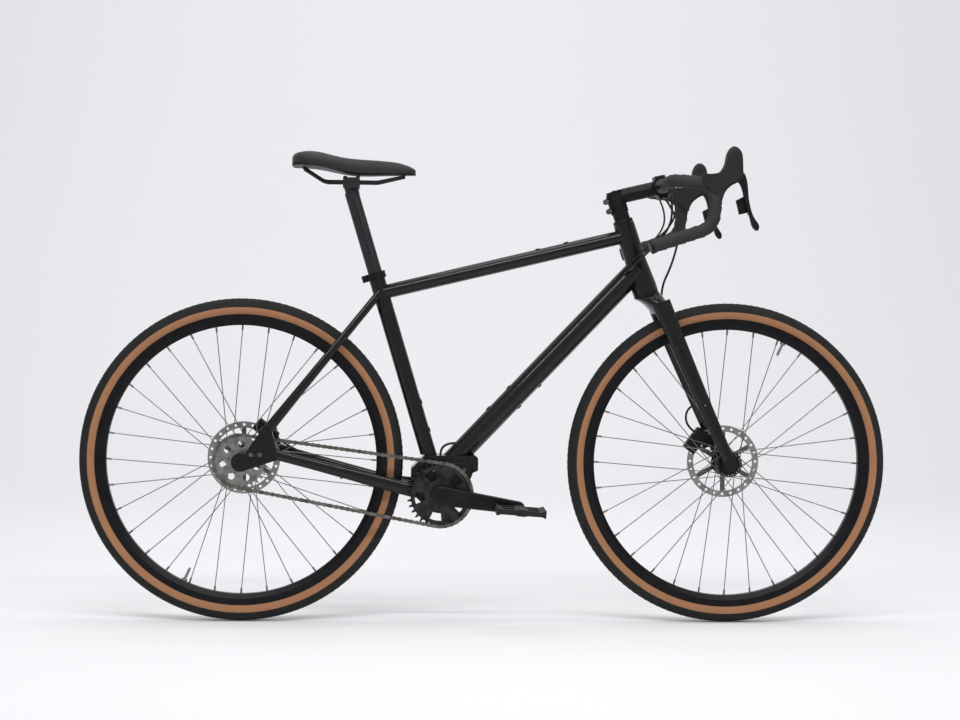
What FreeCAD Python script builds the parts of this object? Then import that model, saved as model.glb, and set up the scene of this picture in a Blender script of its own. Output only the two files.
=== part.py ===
"""Gravel bike with a gearbox drive, disc brakes and a drop handlebar.

Millimetres. +X is forward, +Y is the rider's left, +Z is up. The origin is on the ground,
midway between the two wheel axles.
"""
import FreeCAD, Part
import math
import os
import Sketcher

doc = FreeCAD.newDocument("gravel_bike")
sheet = doc.addObject("Spreadsheet::Sheet", "dims")

# Driving dimensions: name, millimetres or degrees or a count, what it measures
SIZES = [
    ("wheelbase", 1063, "between the wheel axles"),
    ("bottom_bracket_drop", 70, "crank axis below the wheel axles"),
    ("head_angle", 71.5, "steering axis from the ground"),
    ("fork_rake", 55, "front axle ahead of the steering axis"),
    ("crown_height", 405, "axle to crown race along the steering axis"),
    ("seat_angle", 73.1, "seat tube from the ground"),
    # Fits
    ("weld_gap", 0.05, "between tubes that are welded together"),
    ("running_gap", 0.05, "radial, shaft in a bearing or bush"),
    ("seat_gap", 0.1, "between pieces that are bolted or pushed together"),
    ("side_gap", 0.6, "between a turning piece and the fixed one beside it"),
    # Tyre and rim
    ("tyre_radius", 351, "outside, pumped up"),
    ("tyre_shoulder_half", 14.5, "half the tyre's width where it meets the rim"),
    ("tyre_wall", 3.2, "thickness of the tread"),
    ("bead_width", 3, "thickness of the bead"),
    ("rim_flange_radius", 317, "top of the rim's flanges"),
    ("rim_seat_radius", 311, "where the beads sit"),
    ("rim_well_radius", 308.5, "bottom of the drop channel"),
    ("rim_side_radius", 303, "where the rim's sides begin to close in"),
    ("rim_inner_radius", 293, "the spoke bed"),
    ("rim_half_width", 14, "outside"),
    ("rim_flange_width", 2.2, "thickness of a flange"),
    ("rim_well_half", 5, "half the drop channel's width"),
    ("rim_bed_half", 7, "half the spoke bed's width"),
    ("rim_wall", 2.4, "thickness of the box section"),
    # Spokes
    ("spoke_count", 32, "in one wheel"),
    ("spoke_radius", 1.0, "plain gauge"),
    ("spoke_head_radius", 1.8, "head at the flange"),
    ("spoke_head_length", 1.5, "head at the flange"),
    ("spoke_hole_gap", 0.25, "radial, spoke in the flange"),
    ("spoke_cross_angle", 67.5, "hub hole to rim hole, three crosses"),
    ("nipple_radius", 2.1, "nipple below the rim"),
    ("nipple_length", 11, "nipple below the rim"),
    ("nipple_gap", 0.4, "nipple to spoke bed"),
    ("rim_hole_offset", 2.5, "rim holes to each side of the middle"),
    # Hubs
    ("flange_radius", 29.5, "hub flange"),
    ("flange_width", 3.5, "hub flange"),
    ("spoke_circle_radius", 26, "spoke holes in the flange"),
    ("hub_barrel_radius", 18, "hub shell between the flanges"),
    ("hub_bore_radius", 11, "hollow inside the shell"),
    ("bearing_outer_radius", 15, "cartridge bearing"),
    ("bearing_inner_radius", 8.5, "cartridge bearing"),
    ("bearing_width", 7, "cartridge bearing"),
    ("bearing_inset", 1, "bearing below the end of the shell"),
    ("axle_radius", 6, "thru axle"),
    ("axle_head_radius", 10, "thru axle's head"),
    ("axle_head_length", 6, "thru axle's head"),
    ("axle_cap_radius", 11.5, "end caps between hub and dropout"),
    ("axle_cap_gap", 0.6, "end cap to the hub shell"),
    ("front_hub_half", 50, "half the width between the fork ends"),
    ("front_shell_half", 44, "half the length of the front hub shell"),
    ("front_left_flange", 21, "middle of the left flange from the middle of the wheel"),
    ("front_right_flange", 33, "middle of the right flange from the middle of the wheel"),
    ("front_rotor_offset", 39.5, "middle of the front rotor"),
    ("rear_hub_half", 71, "half the width between the dropouts"),
    ("rear_shell_left", 61, "left end of the rear hub shell"),
    ("rear_shell_right", 24, "right end of the rear hub shell"),
    ("rear_left_flange", 33, "middle of the left flange"),
    ("rear_right_flange", 19.5, "middle of the right flange"),
    ("rear_rotor_offset", 55.5, "middle of the rear rotor"),
    # Disc rotors
    ("rotor_radius", 80, "outside"),
    ("rotor_track", 14, "width of the braking track"),
    ("rotor_thickness", 1.8, "steel disc"),
    ("rotor_seat_radius", 17.5, "bore on the hub"),
    ("rotor_centre_radius", 26, "carrier"),
    ("rotor_arm_count", 6, "arms between carrier and track"),
    ("rotor_arm_width", 9, "arm"),
    ("rotor_hole_count", 24, "vents in the track"),
    ("rotor_hole_radius", 3, "vents in the track"),
    # Chain drive
    ("chain_pitch", 12.7, "pin to pin"),
    ("chain_link_count", 100, "inner and outer links together"),
    ("ring_teeth", 34, "chainring"),
    ("sprocket_teeth", 28, "rear sprocket"),
    ("chain_line", 50, "chain from the middle of the bike"),
    ("roller_radius", 3.85, "chain roller"),
    ("roller_seat_gap", 0.35, "roller in the tooth gap"),
    ("tooth_height", 3.9, "above the pitch circle"),
    ("tooth_tip_width", 2.4, "flat top of a tooth"),
    ("sprocket_thickness", 2.2, "chainring and sprocket"),
    ("chain_inner_width", 3.2, "between the inner plates"),
    ("chain_plate_thickness", 1.0, "each plate"),
    ("chain_plate_gap", 0.1, "inner plate to outer plate"),
    ("chain_plate_height", 8.4, "at the pins"),
    ("chain_plate_waist", 6.2, "between the pins"),
    ("chain_pin_radius", 1.8, "pin"),
    ("chain_pin_stand", 0.4, "pin beyond the outer plate"),
    ("ring_window_count", 5, "openings in the chainring"),
    ("ring_window_inner", 34, "from the crank axis"),
    ("ring_window_outer", 56, "from the crank axis"),
    ("ring_window_half", 13, "half the window's width at the teeth"),
    ("ring_window_low_half", 7.15, "half the window's width at the spider"),
    ("ring_sleeve_radius", 22, "sleeve that carries the chainring"),
    ("sprocket_carrier_radius", 17.5, "freewheel body"),
    ("sprocket_carrier_flange", 22, "shoulder beside the sprocket"),
    ("sprocket_window_count", 7, "openings in the sprocket"),
    ("sprocket_window_radius", 7.5, "openings in the sprocket"),
    ("sprocket_window_circle", 37, "centres of the openings"),
    ("freewheel_end", 63.5, "right end of the freewheel body"),
    # Gearbox, cranks and pedals
    ("gearbox_half", 34, "half the width of the housing"),
    ("gearbox_top", 72, "above the crank axis"),
    ("gearbox_bottom", 42, "below the crank axis"),
    ("gearbox_front", 70, "ahead of the crank axis"),
    ("gearbox_back", 52, "behind the crank axis"),
    ("gearbox_cover_thickness", 6, "right cover"),
    ("gearbox_cover_inset", 4, "cover inside the housing's outline"),
    ("gearbox_edge", 3, "rounded edge of the housing"),
    ("cradle_wall", 12, "thickness of the arch over the gearbox"),
    ("cradle_half", 34, "half the width of the arch"),
    ("spindle_radius", 12, "crank spindle"),
    ("crank_length", 170, "spindle to pedal axle"),
    ("crank_angle", -8.5, "right arm at rest, above level"),
    ("crank_inner", 61, "inner face of an arm from the middle of the bike"),
    ("crank_thickness", 16, "arm"),
    ("crank_boss_radius", 21, "round end at the spindle"),
    ("crank_eye_radius", 14, "round end at the pedal"),
    ("crank_edge", 3.5, "rounded edge of the arm"),
    ("crank_groove_depth", 2, "hollow in the outer face"),
    ("crank_cap_radius", 11, "bolt at the end of the spindle"),
    ("crank_cap_length", 2.5, "bolt at the end of the spindle"),
    ("pedal_axle_radius", 5.5, "pedal axle"),
    ("pedal_collar_radius", 9, "flats beside the arm"),
    ("pedal_collar_length", 5, "flats beside the arm"),
    ("pedal_length", 104, "fore and aft"),
    ("pedal_width", 96, "along the axle"),
    ("pedal_end_height", 17, "flared ends"),
    ("pedal_middle_height", 14, "over the axle"),
    ("pedal_waist_height", 10.5, "between axle and ends"),
    ("pedal_window_length", 25, "openings in the platform"),
    ("pedal_window_width", 32, "openings in the platform"),
    ("pedal_tilt", -4, "platform at rest, front end up"),
    # Frame tubes
    ("tube_wall", 2, "tube walls"),
    ("seat_tube_radius", 17.5, "outside"),
    ("seat_tube_length", 502, "crank axis to top"),
    ("post_radius", 15.45, "seatpost"),
    ("head_tube_low_radius", 28, "lower end"),
    ("head_tube_top_radius", 23, "upper end"),
    ("head_tube_cup", 14, "length of the straight ends"),
    ("head_tube_length", 158, "along the steering axis"),
    ("lower_stack", 7, "crown race to head tube"),
    ("top_tube_height", 31, "outside"),
    ("top_tube_width", 35, "outside"),
    ("top_tube_seat_joint", 456, "along the seat tube from the crank axis"),
    ("top_tube_head_joint", 543, "along the steering axis from the front axle"),
    ("down_tube_height", 48, "outside"),
    ("down_tube_width", 54, "outside"),
    ("down_tube_head_joint", 468, "along the steering axis from the front axle"),
    ("down_tube_foot", 40, "ahead of the crank axis on the arch"),
    ("chain_stay_height", 30, "at the arch"),
    ("chain_stay_end_height", 24, "at the dropout"),
    ("chain_stay_width", 16, "across"),
    ("chain_stay_root_side", 29, "from the middle of the bike at the arch"),
    ("chain_stay_knee_side", 34, "beside the front of the tyre"),
    ("chain_stay_bend_side", 49, "behind the swing of the cranks"),
    ("chain_stay_rise", 15.3, "slope of the chain stays"),
    ("chain_stay_root_height", 8, "root above the crank axis"),
    ("seat_stay_height", 17, "at the seat tube"),
    ("seat_stay_end_height", 21, "at the dropout"),
    ("seat_stay_width", 14, "across"),
    ("seat_stay_joint", 459, "along the seat tube from the crank axis"),
    ("seat_stay_root_side", 14, "from the middle of the bike at the seat tube"),
    ("seat_stay_tyre_side", 37, "where it passes the tyre"),
    ("seat_stay_bridge_radius", 6, "bridge between the stays"),
    ("dropout_thickness", 10, "plate"),
    ("dropout_axle_gap", 0.1, "axle in the dropout"),
    ("dropout_hood_radius", 17, "round end about the axle"),
    ("dropout_slot_length", 20, "adjusting slot"),
    ("dropout_slot_width", 6.4, "adjusting slot"),
    ("boss_radius", 5.5, "threaded boss"),
    ("boss_hole_radius", 2.1, "tapping hole for M5"),
    ("boss_stand", 1.5, "boss proud of the tube"),
    ("boss_depth", 11, "boss below the tube's outside"),
    ("boss_spacing", 64, "between a pair of bosses"),
    ("seat_clamp_radius", 21.5, "clamp ring"),
    ("seat_clamp_height", 15, "clamp ring"),
    ("seat_clamp_slit", 3, "gap between the ears"),
    ("seat_clamp_ear", 10, "ears behind the ring"),
    ("bolt_radius", 2.5, "M5"),
    ("bolt_head_radius", 4.2, "cap head"),
    ("bolt_head_length", 4.5, "cap head"),
    ("bolt_socket_radius", 2.1, "socket in the head"),
    # Seat
    ("post_insert", 110, "seatpost inside the seat tube"),
    ("post_top", 684, "crank axis to the head of the post"),
    ("rail_radius", 3.5, "saddle rail"),
    ("rail_half", 22, "half the distance between the rails"),
    ("rail_height", 957, "above the ground"),
    ("rail_clamp_length", 36, "along the rails"),
    ("saddle_behind", 128, "tail end behind the head of the post"),
    ("saddle_ahead", 140, "nose end ahead of the head of the post"),
    ("saddle_half_width", 72, "widest"),
    ("saddle_shell_thickness", 3, "shell under the pad"),
    ("saddle_tail_top", 1024, "above the ground"),
    ("saddle_waist_top", 1006, "above the ground"),
    ("saddle_nose_top", 994, "above the ground"),
    ("saddle_tail_low", 990, "edge at the tail"),
    ("saddle_waist_low", 972, "edge at the waist"),
    ("saddle_nose_low", 974, "edge at the nose"),
    # Fork and headset
    ("steerer_low_radius", 19.05, "at the crown"),
    ("steerer_radius", 14.3, "at the stem"),
    ("steerer_wall", 2.3, "steerer wall"),
    ("steerer_taper", 60, "length of the taper"),
    ("headset_bearing_height", 7, "both bearings"),
    ("headset_low_radius", 26, "lower bearing, outside"),
    ("headset_top_radius", 20.9, "upper bearing, outside"),
    ("headset_cover_height", 9, "cover over the upper bearing"),
    ("headset_cover_radius", 22, "cover over the upper bearing"),
    ("spacer_height", 5, "each spacer"),
    ("spacer_count", 3, "spacers under the stem"),
    ("spacer_radius", 17.5, "spacer"),
    ("crown_radius", 27.5, "crown under the race"),
    ("crown_drop", 42, "crown below the race"),
    ("leg_ahead", 20, "leg ahead of the axis at the crown"),
    ("leg_top_side", 41, "leg from the middle at the crown"),
    ("leg_bottom_side", 57, "leg from the middle at the axle"),
    ("leg_top_depth", 42, "fore and aft at the crown"),
    ("leg_bottom_depth", 25, "fore and aft at the axle"),
    ("leg_top_width", 25, "across at the crown"),
    ("leg_bottom_width", 14, "across at the axle"),
    ("fork_end_radius", 15, "round end about the axle"),
    ("fork_boss_height", 140, "lowest boss above the axle"),
    # Stem, bar and levers
    ("stem_clamp_height", 44, "clamp on the steerer"),
    ("stem_clamp_radius", 19.5, "clamp on the steerer"),
    ("stem_radius", 16, "extension"),
    ("stem_rise", 8, "extension below the top of the clamp"),
    ("bar_behind_axle", 153.5, "bar clamp behind the front axle"),
    ("bar_height", 955, "bar clamp above the ground"),
    ("bar_clamp_radius", 15.9, "middle of the bar"),
    ("bar_radius", 12, "bar outside the clamp"),
    ("bar_wall", 2, "bar wall"),
    ("bar_clamp_half", 48, "half the thick middle"),
    ("bar_taper", 22, "taper beside the thick middle"),
    ("faceplate_radius", 21, "stem's end round the bar"),
    ("faceplate_half", 22, "half the width of the faceplate"),
    ("faceplate_gap", 2, "between stem and faceplate"),
    ("top_cap_radius", 17, "cap on the stem"),
    ("top_cap_height", 6, "cap on the stem"),
    ("hood_side", 217, "lever bodies from the middle of the bike"),
    ("bar_reach", 89, "front of the hook ahead of the clamp"),
    ("bar_drop", 139, "bar end below the clamp"),
    ("bar_end_side", 243, "bar end from the middle of the bike"),
    ("bar_corner_radius", 42, "bends of the bar"),
    ("tape_radius", 14.8, "outside of the bar tape"),
    ("tape_gap", 0.1, "tape on the bar"),
    ("plug_length", 6, "bar end plug"),
    ("hood_half", 17, "half the width of a hood"),
    ("lever_half", 6.5, "half the width of a lever at its pivot"),
    ("lever_pin_radius", 2.5, "lever pivot"),
    ("paddle_thickness", 2.6, "shift paddle"),
    ("paddle_pin_radius", 1.6, "paddle pivot"),
    # Brakes and lines
    ("caliper_length", 56, "along the track"),
    ("caliper_depth", 30, "from the rim of the rotor inwards"),
    ("pad_thickness", 3, "pad and backing plate"),
    ("pad_gap", 0.4, "pad to rotor at rest"),
    ("pad_length", 26, "along the track"),
    ("pad_depth", 13, "across the track"),
    ("hose_radius", 2.5, "brake hose"),
    ("cable_radius", 2.0, "shift cable housing"),
    ("top_tube_boss", 355, "first boss along the top tube"),
    ("down_tube_upper_boss", 118, "first boss on the upper side"),
    ("down_tube_lower_boss", 168, "first boss on the lower side"),
    ("seat_tube_boss", 140, "first boss along the seat tube"),
    ("dropout_reach", 80, "ends of the chain stays ahead of the axle"),
    ("seat_stay_end_ahead", 62, "end of the seat stays ahead of the axle"),
    ("seat_stay_end_above", 73, "end of the seat stays above the axle"),
    ("rail_split", 1.0, "between the two halves of the rail clamp"),
    ("rail_cradle_height", 14, "lower half of the rail clamp"),
    ("rail_plate_height", 9, "upper half of the rail clamp"),
    ("rail_bend", 30, "bends of the rails"),
    ("saddle_rail_inset", 24, "ends of the rails inside the shell"),
    ("faceplate_bolt_height", 21, "bolts above and below the bar"),
    ("faceplate_bolt_side", 15, "bolts beside the middle"),
    ("faceplate_lug", 9, "ears of the faceplate"),
    ("stem_ear_half", 13, "half the length of the ears behind the stem"),
    ("stem_ear_radius", 6, "ears behind the stem"),
    ("leg_middle_share", 0.62, "how far the legs have narrowed half way down"),
    ("tape_start", 95, "bar tape from the middle of the bike"),
    ("hood_back", 54, "back of the hood ahead of the bar clamp"),
    ("hood_foot", 41, "foot of the hood below the bar clamp"),
    ("lever_slot_half", 7, "half the slot in a hood"),
    ("lever_eye_radius", 8, "lever round its pivot"),
    ("lever_edge", 2.5, "rounded edges of a lever"),
    ("paddle_side", 9.9, "paddle hinge from the lever's middle"),
    ("paddle_knuckle_radius", 2.9, "paddle round its pin"),
    ("paddle_lug_radius", 2.4, "ears on the lever that hold the pin"),
    ("paddle_width", 20, "behind its hinge"),
    ("paddle_end_gap", 3, "ears beside the knuckle"),
    ("caliper_inner", 10, "caliper from the rotor's middle, wheel side"),
    ("caliper_outer", 12, "caliper from the rotor's middle, outer side"),
    ("caliper_over", 12, "caliper outside the rim of the rotor"),
    ("caliper_edge", 5, "rounded edges"),
    ("caliper_window", 16, "window over the pads"),
    ("front_caliper_angle", -53, "degrees forward of upright"),
    ("rear_caliper_angle", 39, "degrees forward of upright"),
    ("caliper_foot_height", 62, "foot of the front caliper above the axle"),
    ("caliper_foot_length", 46, "foot of the front caliper along the leg"),
    ("caliper_foot_depth", 26, "foot of the front caliper behind the leg's middle"),
    ("line_gap", 0.15, "ends of hoses and cables"),
    ("line_bend", 22, "bends of hoses and cables"),
    ("cover_bolt_inset", 15, "cover bolts from the cover's edges"),
    ("gearbox_chin", 20, "housing drawn in below its front face"),
    ("gearbox_chin_drop", 4, "foot of the chin below the crank axis"),
    ("gearbox_brow", 43.2, "foot of the front face above the crank axis"),
    ("gearbox_front_bevel", 10, "upper front corner"),
    ("gearbox_back_bevel", 22, "upper back corner"),
    ("gearbox_back_foot", 8, "foot of the back face below the crank axis"),
    ("gearbox_boss_inset", 8, "left boss inside the housing's round foot"),
    ("gearbox_cover_edge", 2.1, "rounded edge of the cover"),
    ("cradle_bevel", 29, "upper back corner of the cradle"),
    ("cradle_round", 6, "front corners of the cradle"),
    ("cradle_lip", 20, "cradle down the front of the housing"),
    ("tooth_flank_angle", 35, "degrees, where the roller's seat turns into the flank"),
    ("plate_waist_angle", 100, "degrees of plate round each pin before the waist"),
    ("overlap", 1, "pieces of one solid run into each other"),
    ("ellipse_least", 0.01, "least difference between an ellipse's axes"),
    ("rail_cradle_lip", 7, "rail to the side of the lower clamp"),
    ("rail_plate_lip", 5.25, "rail to the side of the upper clamp"),
    ("rail_nose_half", 9, "rails from the middle at the nose"),
    ("rail_tail_half", 28.6, "rails from the middle at the tail"),
    ("rail_straight_half", 57.6, "half the straight run of the rails"),
    ("saddle_foot_share", 0.86, "width at the foot of the pad's sides"),
    ("saddle_shoulder_share", 0.80, "width at the shoulders of the pad"),
    ("saddle_side_share", 0.72, "height of the pad's sides"),
    ("crown_depth", 48, "fore and aft at the crown's shoulder"),
    ("crown_width", 88, "across the crown's shoulder"),
    ("crown_foot_width", 103, "across the foot of the crown"),
    ("headset_cover_round", 3, "rounded rim of the cover"),
    ("head_tube_gap", 1.5, "head tube to the steerer"),
    ("stem_bolt_inset", 11, "clamp bolts from the ends of the clamp"),
    ("bar_corner_rise", 2, "tops of the bar above the clamp"),
    ("bar_hook_drop", 7, "front of the hook below the clamp"),
    ("bar_hook_back", 12, "foot of the hook behind its front"),
    ("bar_hook_height", 90, "foot of the hook below its front"),
    ("bar_flare", 15, "foot of the hook outside its front"),
    ("bar_end_behind", 49, "bar end behind the clamp"),
    ("front_hose_angle", -20, "round the bar, above level"),
    ("right_cable_angle", -15, "round the bar, above level"),
    ("under_bar_angle", -60, "round the bar, above level"),
    ("hose_straight", 22, "hose straight out of a caliper"),
    ("hose_end_bend", 9, "bends beside the calipers"),
    ("dropout_slot_ahead", 25.5, "adjusting slot ahead of the axle"),
    ("seat_stay_tyre_share", 0.34, "where the stays pass the tyre, from the top"),
    ("seat_stay_bridge_share", 0.187, "where the bridge joins the stays, from the top"),
    ("crank_groove_boss_half", 8.4, "hollow beside the spindle"),
    ("crank_groove_eye_half", 5.6, "hollow beside the pedal"),
]
for row, (alias, number, note) in enumerate(SIZES, start=1):
    sheet.set(f"A{row}", note)
    sheet.set(f"B{row}", str(number))
    sheet.setAlias(f"B{row}", alias)
doc.recompute()


def size(alias):
    """The number in the sheet under this name."""
    return float(getattr(sheet, alias))


def value(text):
    """The number that an expression on the sheet gives now."""
    return float(sheet.evalExpression(text))


def vec(x, y, z):
    return FreeCAD.Vector(x, y, z)


# Sub-parts by label, in the order in which they are made
sub_parts = {}


def keep(label, thing):
    thing.Label = label
    sub_parts[label] = thing
    return thing


def feature(label, shape):
    """A sub-part whose shape is worked out below."""
    thing = doc.addObject("Part::Feature", label)
    thing.Shape = shape
    return keep(label, thing)


def group(label, shapes):
    """Several like solids that share one node."""
    return feature(label, Part.makeCompound(shapes))


# Sketch helpers


def sketch_on(body, name, role):
    plane = next(item for item in body.Origin.OriginFeatures if item.Role == role)
    sketch = body.newObject("Sketcher::SketchObject", name)
    sketch.AttachmentSupport = [(plane, "")]
    sketch.MapMode = "FlatFace"
    return sketch


def bind(sketch, kind, where, text):
    index = sketch.addConstraint(Sketcher.Constraint(kind, *where, value(text)))
    sketch.setExpression(f"Constraints[{index}]", text)


def arc_between(start, through, end):
    """The arc from start to end, and whether it runs counter-clockwise."""
    circle = Part.Arc(start, through, end).toShape().Curve
    centre = circle.Center
    turn = (through - start).cross(end - through).z
    first, last = (start, end) if turn > 0 else (end, start)
    begin = math.atan2(first.y - centre.y, first.x - centre.x)
    finish = math.atan2(last.y - centre.y, last.x - centre.x)
    if finish < begin:
        finish += 2 * math.pi
    plain = Part.Circle(centre, vec(0, 0, 1), circle.Radius)
    return Part.ArcOfCircle(plain, begin, finish), turn > 0


def outline(sketch, corners):
    """A closed outline. A corner is (x, y), or (x, y, radius, x, y) where an arc leaves it,
    with the arc's radius and a point that it passes."""
    points = [vec(value(corner[0]), value(corner[1]), 0) for corner in corners]
    ends = []
    for index, corner in enumerate(corners):
        start = points[index]
        end = points[(index + 1) % len(points)]
        if len(corner) == 2:
            number = sketch.addGeometry(Part.LineSegment(start, end))
            ends.append(((number, 1), (number, 2)))
            continue
        through = vec(value(corner[3]), value(corner[4]), 0)
        arc, forward = arc_between(start, through, end)
        number = sketch.addGeometry(arc)
        ends.append(((number, 1), (number, 2)) if forward else ((number, 2), (number, 1)))
    for index, (first, last) in enumerate(ends):
        following = ends[(index + 1) % len(ends)][0]
        sketch.addConstraint(Sketcher.Constraint("Coincident", *last, *following))
        bind(sketch, "DistanceX", (-1, 1, *first), corners[index][0])
        bind(sketch, "DistanceY", (-1, 1, *first), corners[index][1])
        if len(corners[index]) > 2:
            bind(sketch, "Radius", (first[0],), corners[index][2])


def circle(sketch, x, y, radius):
    spot = vec(value(x), value(y), 0)
    number = sketch.addGeometry(Part.Circle(spot, vec(0, 0, 1), value(radius)))
    bind(sketch, "DistanceX", (-1, 1, number, 3), x)
    bind(sketch, "DistanceY", (-1, 1, number, 3), y)
    bind(sketch, "Radius", (number,), radius)


# Feature helpers


def new_body(label, place=None):
    body = keep(label, doc.addObject("PartDesign::Body", label))
    body.Placement = place or FreeCAD.Placement()
    return body


def revolve(body, name, *outlines):
    """A revolution about the body's own Y axis: x is the radius and y lies along the axis."""
    sketch = sketch_on(body, name + "_profile", "XY_Plane")
    for corners in outlines:
        outline(sketch, corners)
    turned = body.newObject("PartDesign::Revolution", name)
    turned.Profile = sketch
    turned.ReferenceAxis = (sketch, ["V_Axis"])
    turned.Angle = 360
    doc.recompute()
    return turned


def pad(body, name, draw, thickness):
    """A plate in the body's XZ plane, equally thick to both sides."""
    sketch = sketch_on(body, name + "_outline", "XZ_Plane")
    draw(sketch)
    plate = body.newObject("PartDesign::Pad", name)
    plate.Profile = sketch
    plate.SideType = "Symmetric"
    plate.setExpression("Length", thickness)
    doc.recompute()
    return plate


def pocket(body, name, draw, count=None):
    """A cut right through a plate, repeated round the body's axis where a count is given."""
    before = body.Shape.Volume
    sketch = sketch_on(body, name + "_outline", "XZ_Plane")
    draw(sketch)
    cut = body.newObject("PartDesign::Pocket", name)
    cut.Profile = sketch
    cut.Type = "ThroughAll"
    cut.SideType = "Symmetric"
    doc.recompute()
    if count:
        ring = body.newObject("PartDesign::PolarPattern", name + "_ring")
        ring.Originals = [cut]
        ring.Axis = (sketch, ["N_Axis"])
        ring.Angle = 360
        ring.setExpression("Occurrences", count)
        body.Tip = ring
        doc.recompute()
    if body.Shape.Volume >= before:
        raise ValueError(f"{name} cuts nothing")
    return cut


def place_along(origin, along, across=None):
    """A placement whose Z axis runs along a direction, or whose Y axis does with across='Y'."""
    start = vec(0, 1, 0) if across == "Y" else vec(0, 0, 1)
    return FreeCAD.Placement(origin, FreeCAD.Rotation(start, along))


def rod(start, end, radius):
    """A plain round bar between two points."""
    return Part.makeCylinder(radius, (end - start).Length, start, end - start)


def cross_bar(spot, left, right, radius):
    """A round bar along Y at a spot, between two distances from the middle of the bike."""
    return Part.makeCylinder(radius, right - left, vec(spot.x, left, spot.z), vec(0, 1, 0))


def cross_tube(spot, left, right, radius, bore):
    return cross_bar(spot, left, right, radius).cut(cross_bar(spot, left, right, bore))


def fuse(shapes):
    return shapes[0].multiFuse(shapes[1:]).removeSplitter()


# Where the main axes lie

rear_axle = vec(-size("wheelbase") / 2, 0, size("tyre_radius"))
front_axle = vec(size("wheelbase") / 2, 0, size("tyre_radius"))


def pitch_radius(teeth):
    return size("chain_pitch") / (2 * math.sin(math.pi / teeth))


ring_pitch_radius = pitch_radius(size("ring_teeth"))
sprocket_pitch_radius = pitch_radius(size("sprocket_teeth"))


def chain_runs(distance):
    """The length of a straight run, and the half angle by which the chain wraps each wheel."""
    step = ring_pitch_radius - sprocket_pitch_radius
    straight = math.sqrt(distance ** 2 - step ** 2)
    lean = math.asin(step / distance)
    return straight, math.pi / 2 + lean, math.pi / 2 - lean


def links_needed(distance):
    straight, ring_wrap, sprocket_wrap = chain_runs(distance)
    on_ring = ring_wrap * size("ring_teeth") / math.pi
    on_sprocket = sprocket_wrap * size("sprocket_teeth") / math.pi
    return 2 * straight / size("chain_pitch") + on_ring + on_sprocket


def tight_distance():
    """The sliding dropouts are set so that the chain's whole number of links is just tight."""
    short = ring_pitch_radius + sprocket_pitch_radius
    long = size("chain_link_count") * size("chain_pitch")
    while long - short > 1e-7:
        middle = (short + long) / 2
        if links_needed(middle) > size("chain_link_count"):
            long = middle
        else:
            short = middle
    return short


axle_distance = tight_distance()
crank_reach = math.sqrt(axle_distance ** 2 - size("bottom_bracket_drop") ** 2)
crank_axis = rear_axle + vec(crank_reach, 0, -size("bottom_bracket_drop"))

head_lean = math.radians(size("head_angle"))
steer_up = vec(-math.cos(head_lean), 0, math.sin(head_lean))
steer_front = vec(math.sin(head_lean), 0, math.cos(head_lean))
steer_foot = front_axle - steer_front * size("fork_rake")
seat_lean = math.radians(size("seat_angle"))
seat_up = vec(-math.cos(seat_lean), 0, math.sin(seat_lean))
seat_front = vec(math.sin(seat_lean), 0, math.cos(seat_lean))


def on_steer(height, ahead=0.0, left=0.0):
    """A point by its height along the steering axis, from abreast of the front axle."""
    return steer_foot + steer_up * height + steer_front * ahead + vec(0, left, 0)


def on_seat(height, ahead=0.0, left=0.0):
    """A point by its height along the seat tube, from the crank axis."""
    return crank_axis + seat_up * height + seat_front * ahead + vec(0, left, 0)


# Wheels


def make_rim(label, axle):
    body = new_body(label, FreeCAD.Placement(axle, FreeCAD.Rotation()))
    half = "dims.rim_half_width"
    inside = "dims.rim_half_width - dims.rim_flange_width"
    well = "dims.rim_well_half"
    bed = "dims.rim_bed_half"
    right = [
        ("dims.rim_flange_radius", half),
        ("dims.rim_flange_radius", inside),
        ("dims.rim_seat_radius", inside),
        ("dims.rim_seat_radius", well),
        ("dims.rim_well_radius", well),
    ]
    lower = [
        ("dims.rim_inner_radius", bed),
        ("dims.rim_side_radius", half),
    ]
    left = [(x, f"-({y})") for x, y in reversed(right)]
    lower_left = [(x, f"-({y})") for x, y in reversed(lower)]
    cavity_top = "dims.rim_well_radius - dims.rim_wall"
    cavity_low = "dims.rim_inner_radius + dims.rim_wall"
    cavity_half = "dims.rim_half_width - dims.rim_wall"
    cavity_bed = "dims.rim_bed_half - dims.rim_wall / 2"
    cavity = [
        (cavity_top, cavity_half),
        (cavity_top, f"-({cavity_half})"),
        ("dims.rim_side_radius", f"-({cavity_half})"),
        (cavity_low, f"-({cavity_bed})"),
        (cavity_low, cavity_bed),
        ("dims.rim_side_radius", cavity_half),
    ]
    revolve(body, label + "_box", right + left + lower_left + lower, cavity)


def make_tyre(label, axle):
    body = new_body(label, FreeCAD.Placement(axle, FreeCAD.Rotation()))
    foot = "dims.rim_flange_radius + dims.seat_gap"
    seat = "dims.rim_seat_radius + dims.seat_gap"
    shoulder = "dims.tyre_shoulder_half"
    bead = "dims.rim_half_width - dims.rim_flange_width - dims.seat_gap"
    bead_in = f"{bead} - dims.bead_width"
    crown = "dims.tyre_radius - dims.tyre_wall"
    rise = f"(dims.tyre_radius - ({foot}))"
    outer = f"({rise} ^ 2 + ({shoulder}) ^ 2) / (2 * {rise})"
    inner_rise = f"({crown} - ({foot}))"
    inner = f"({inner_rise} ^ 2 + ({bead_in}) ^ 2) / (2 * {inner_rise})"
    revolve(body, label + "_casing", [
        (foot, f"-({shoulder})", outer, "dims.tyre_radius", "0"),
        (foot, shoulder),
        (foot, bead),
        (seat, bead),
        (seat, bead_in),
        (foot, bead_in, inner, crown, "0"),
        (foot, f"-({bead_in})"),
        (seat, f"-({bead_in})"),
        (seat, f"-({bead})"),
        (foot, f"-({bead})"),
    ])


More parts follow.
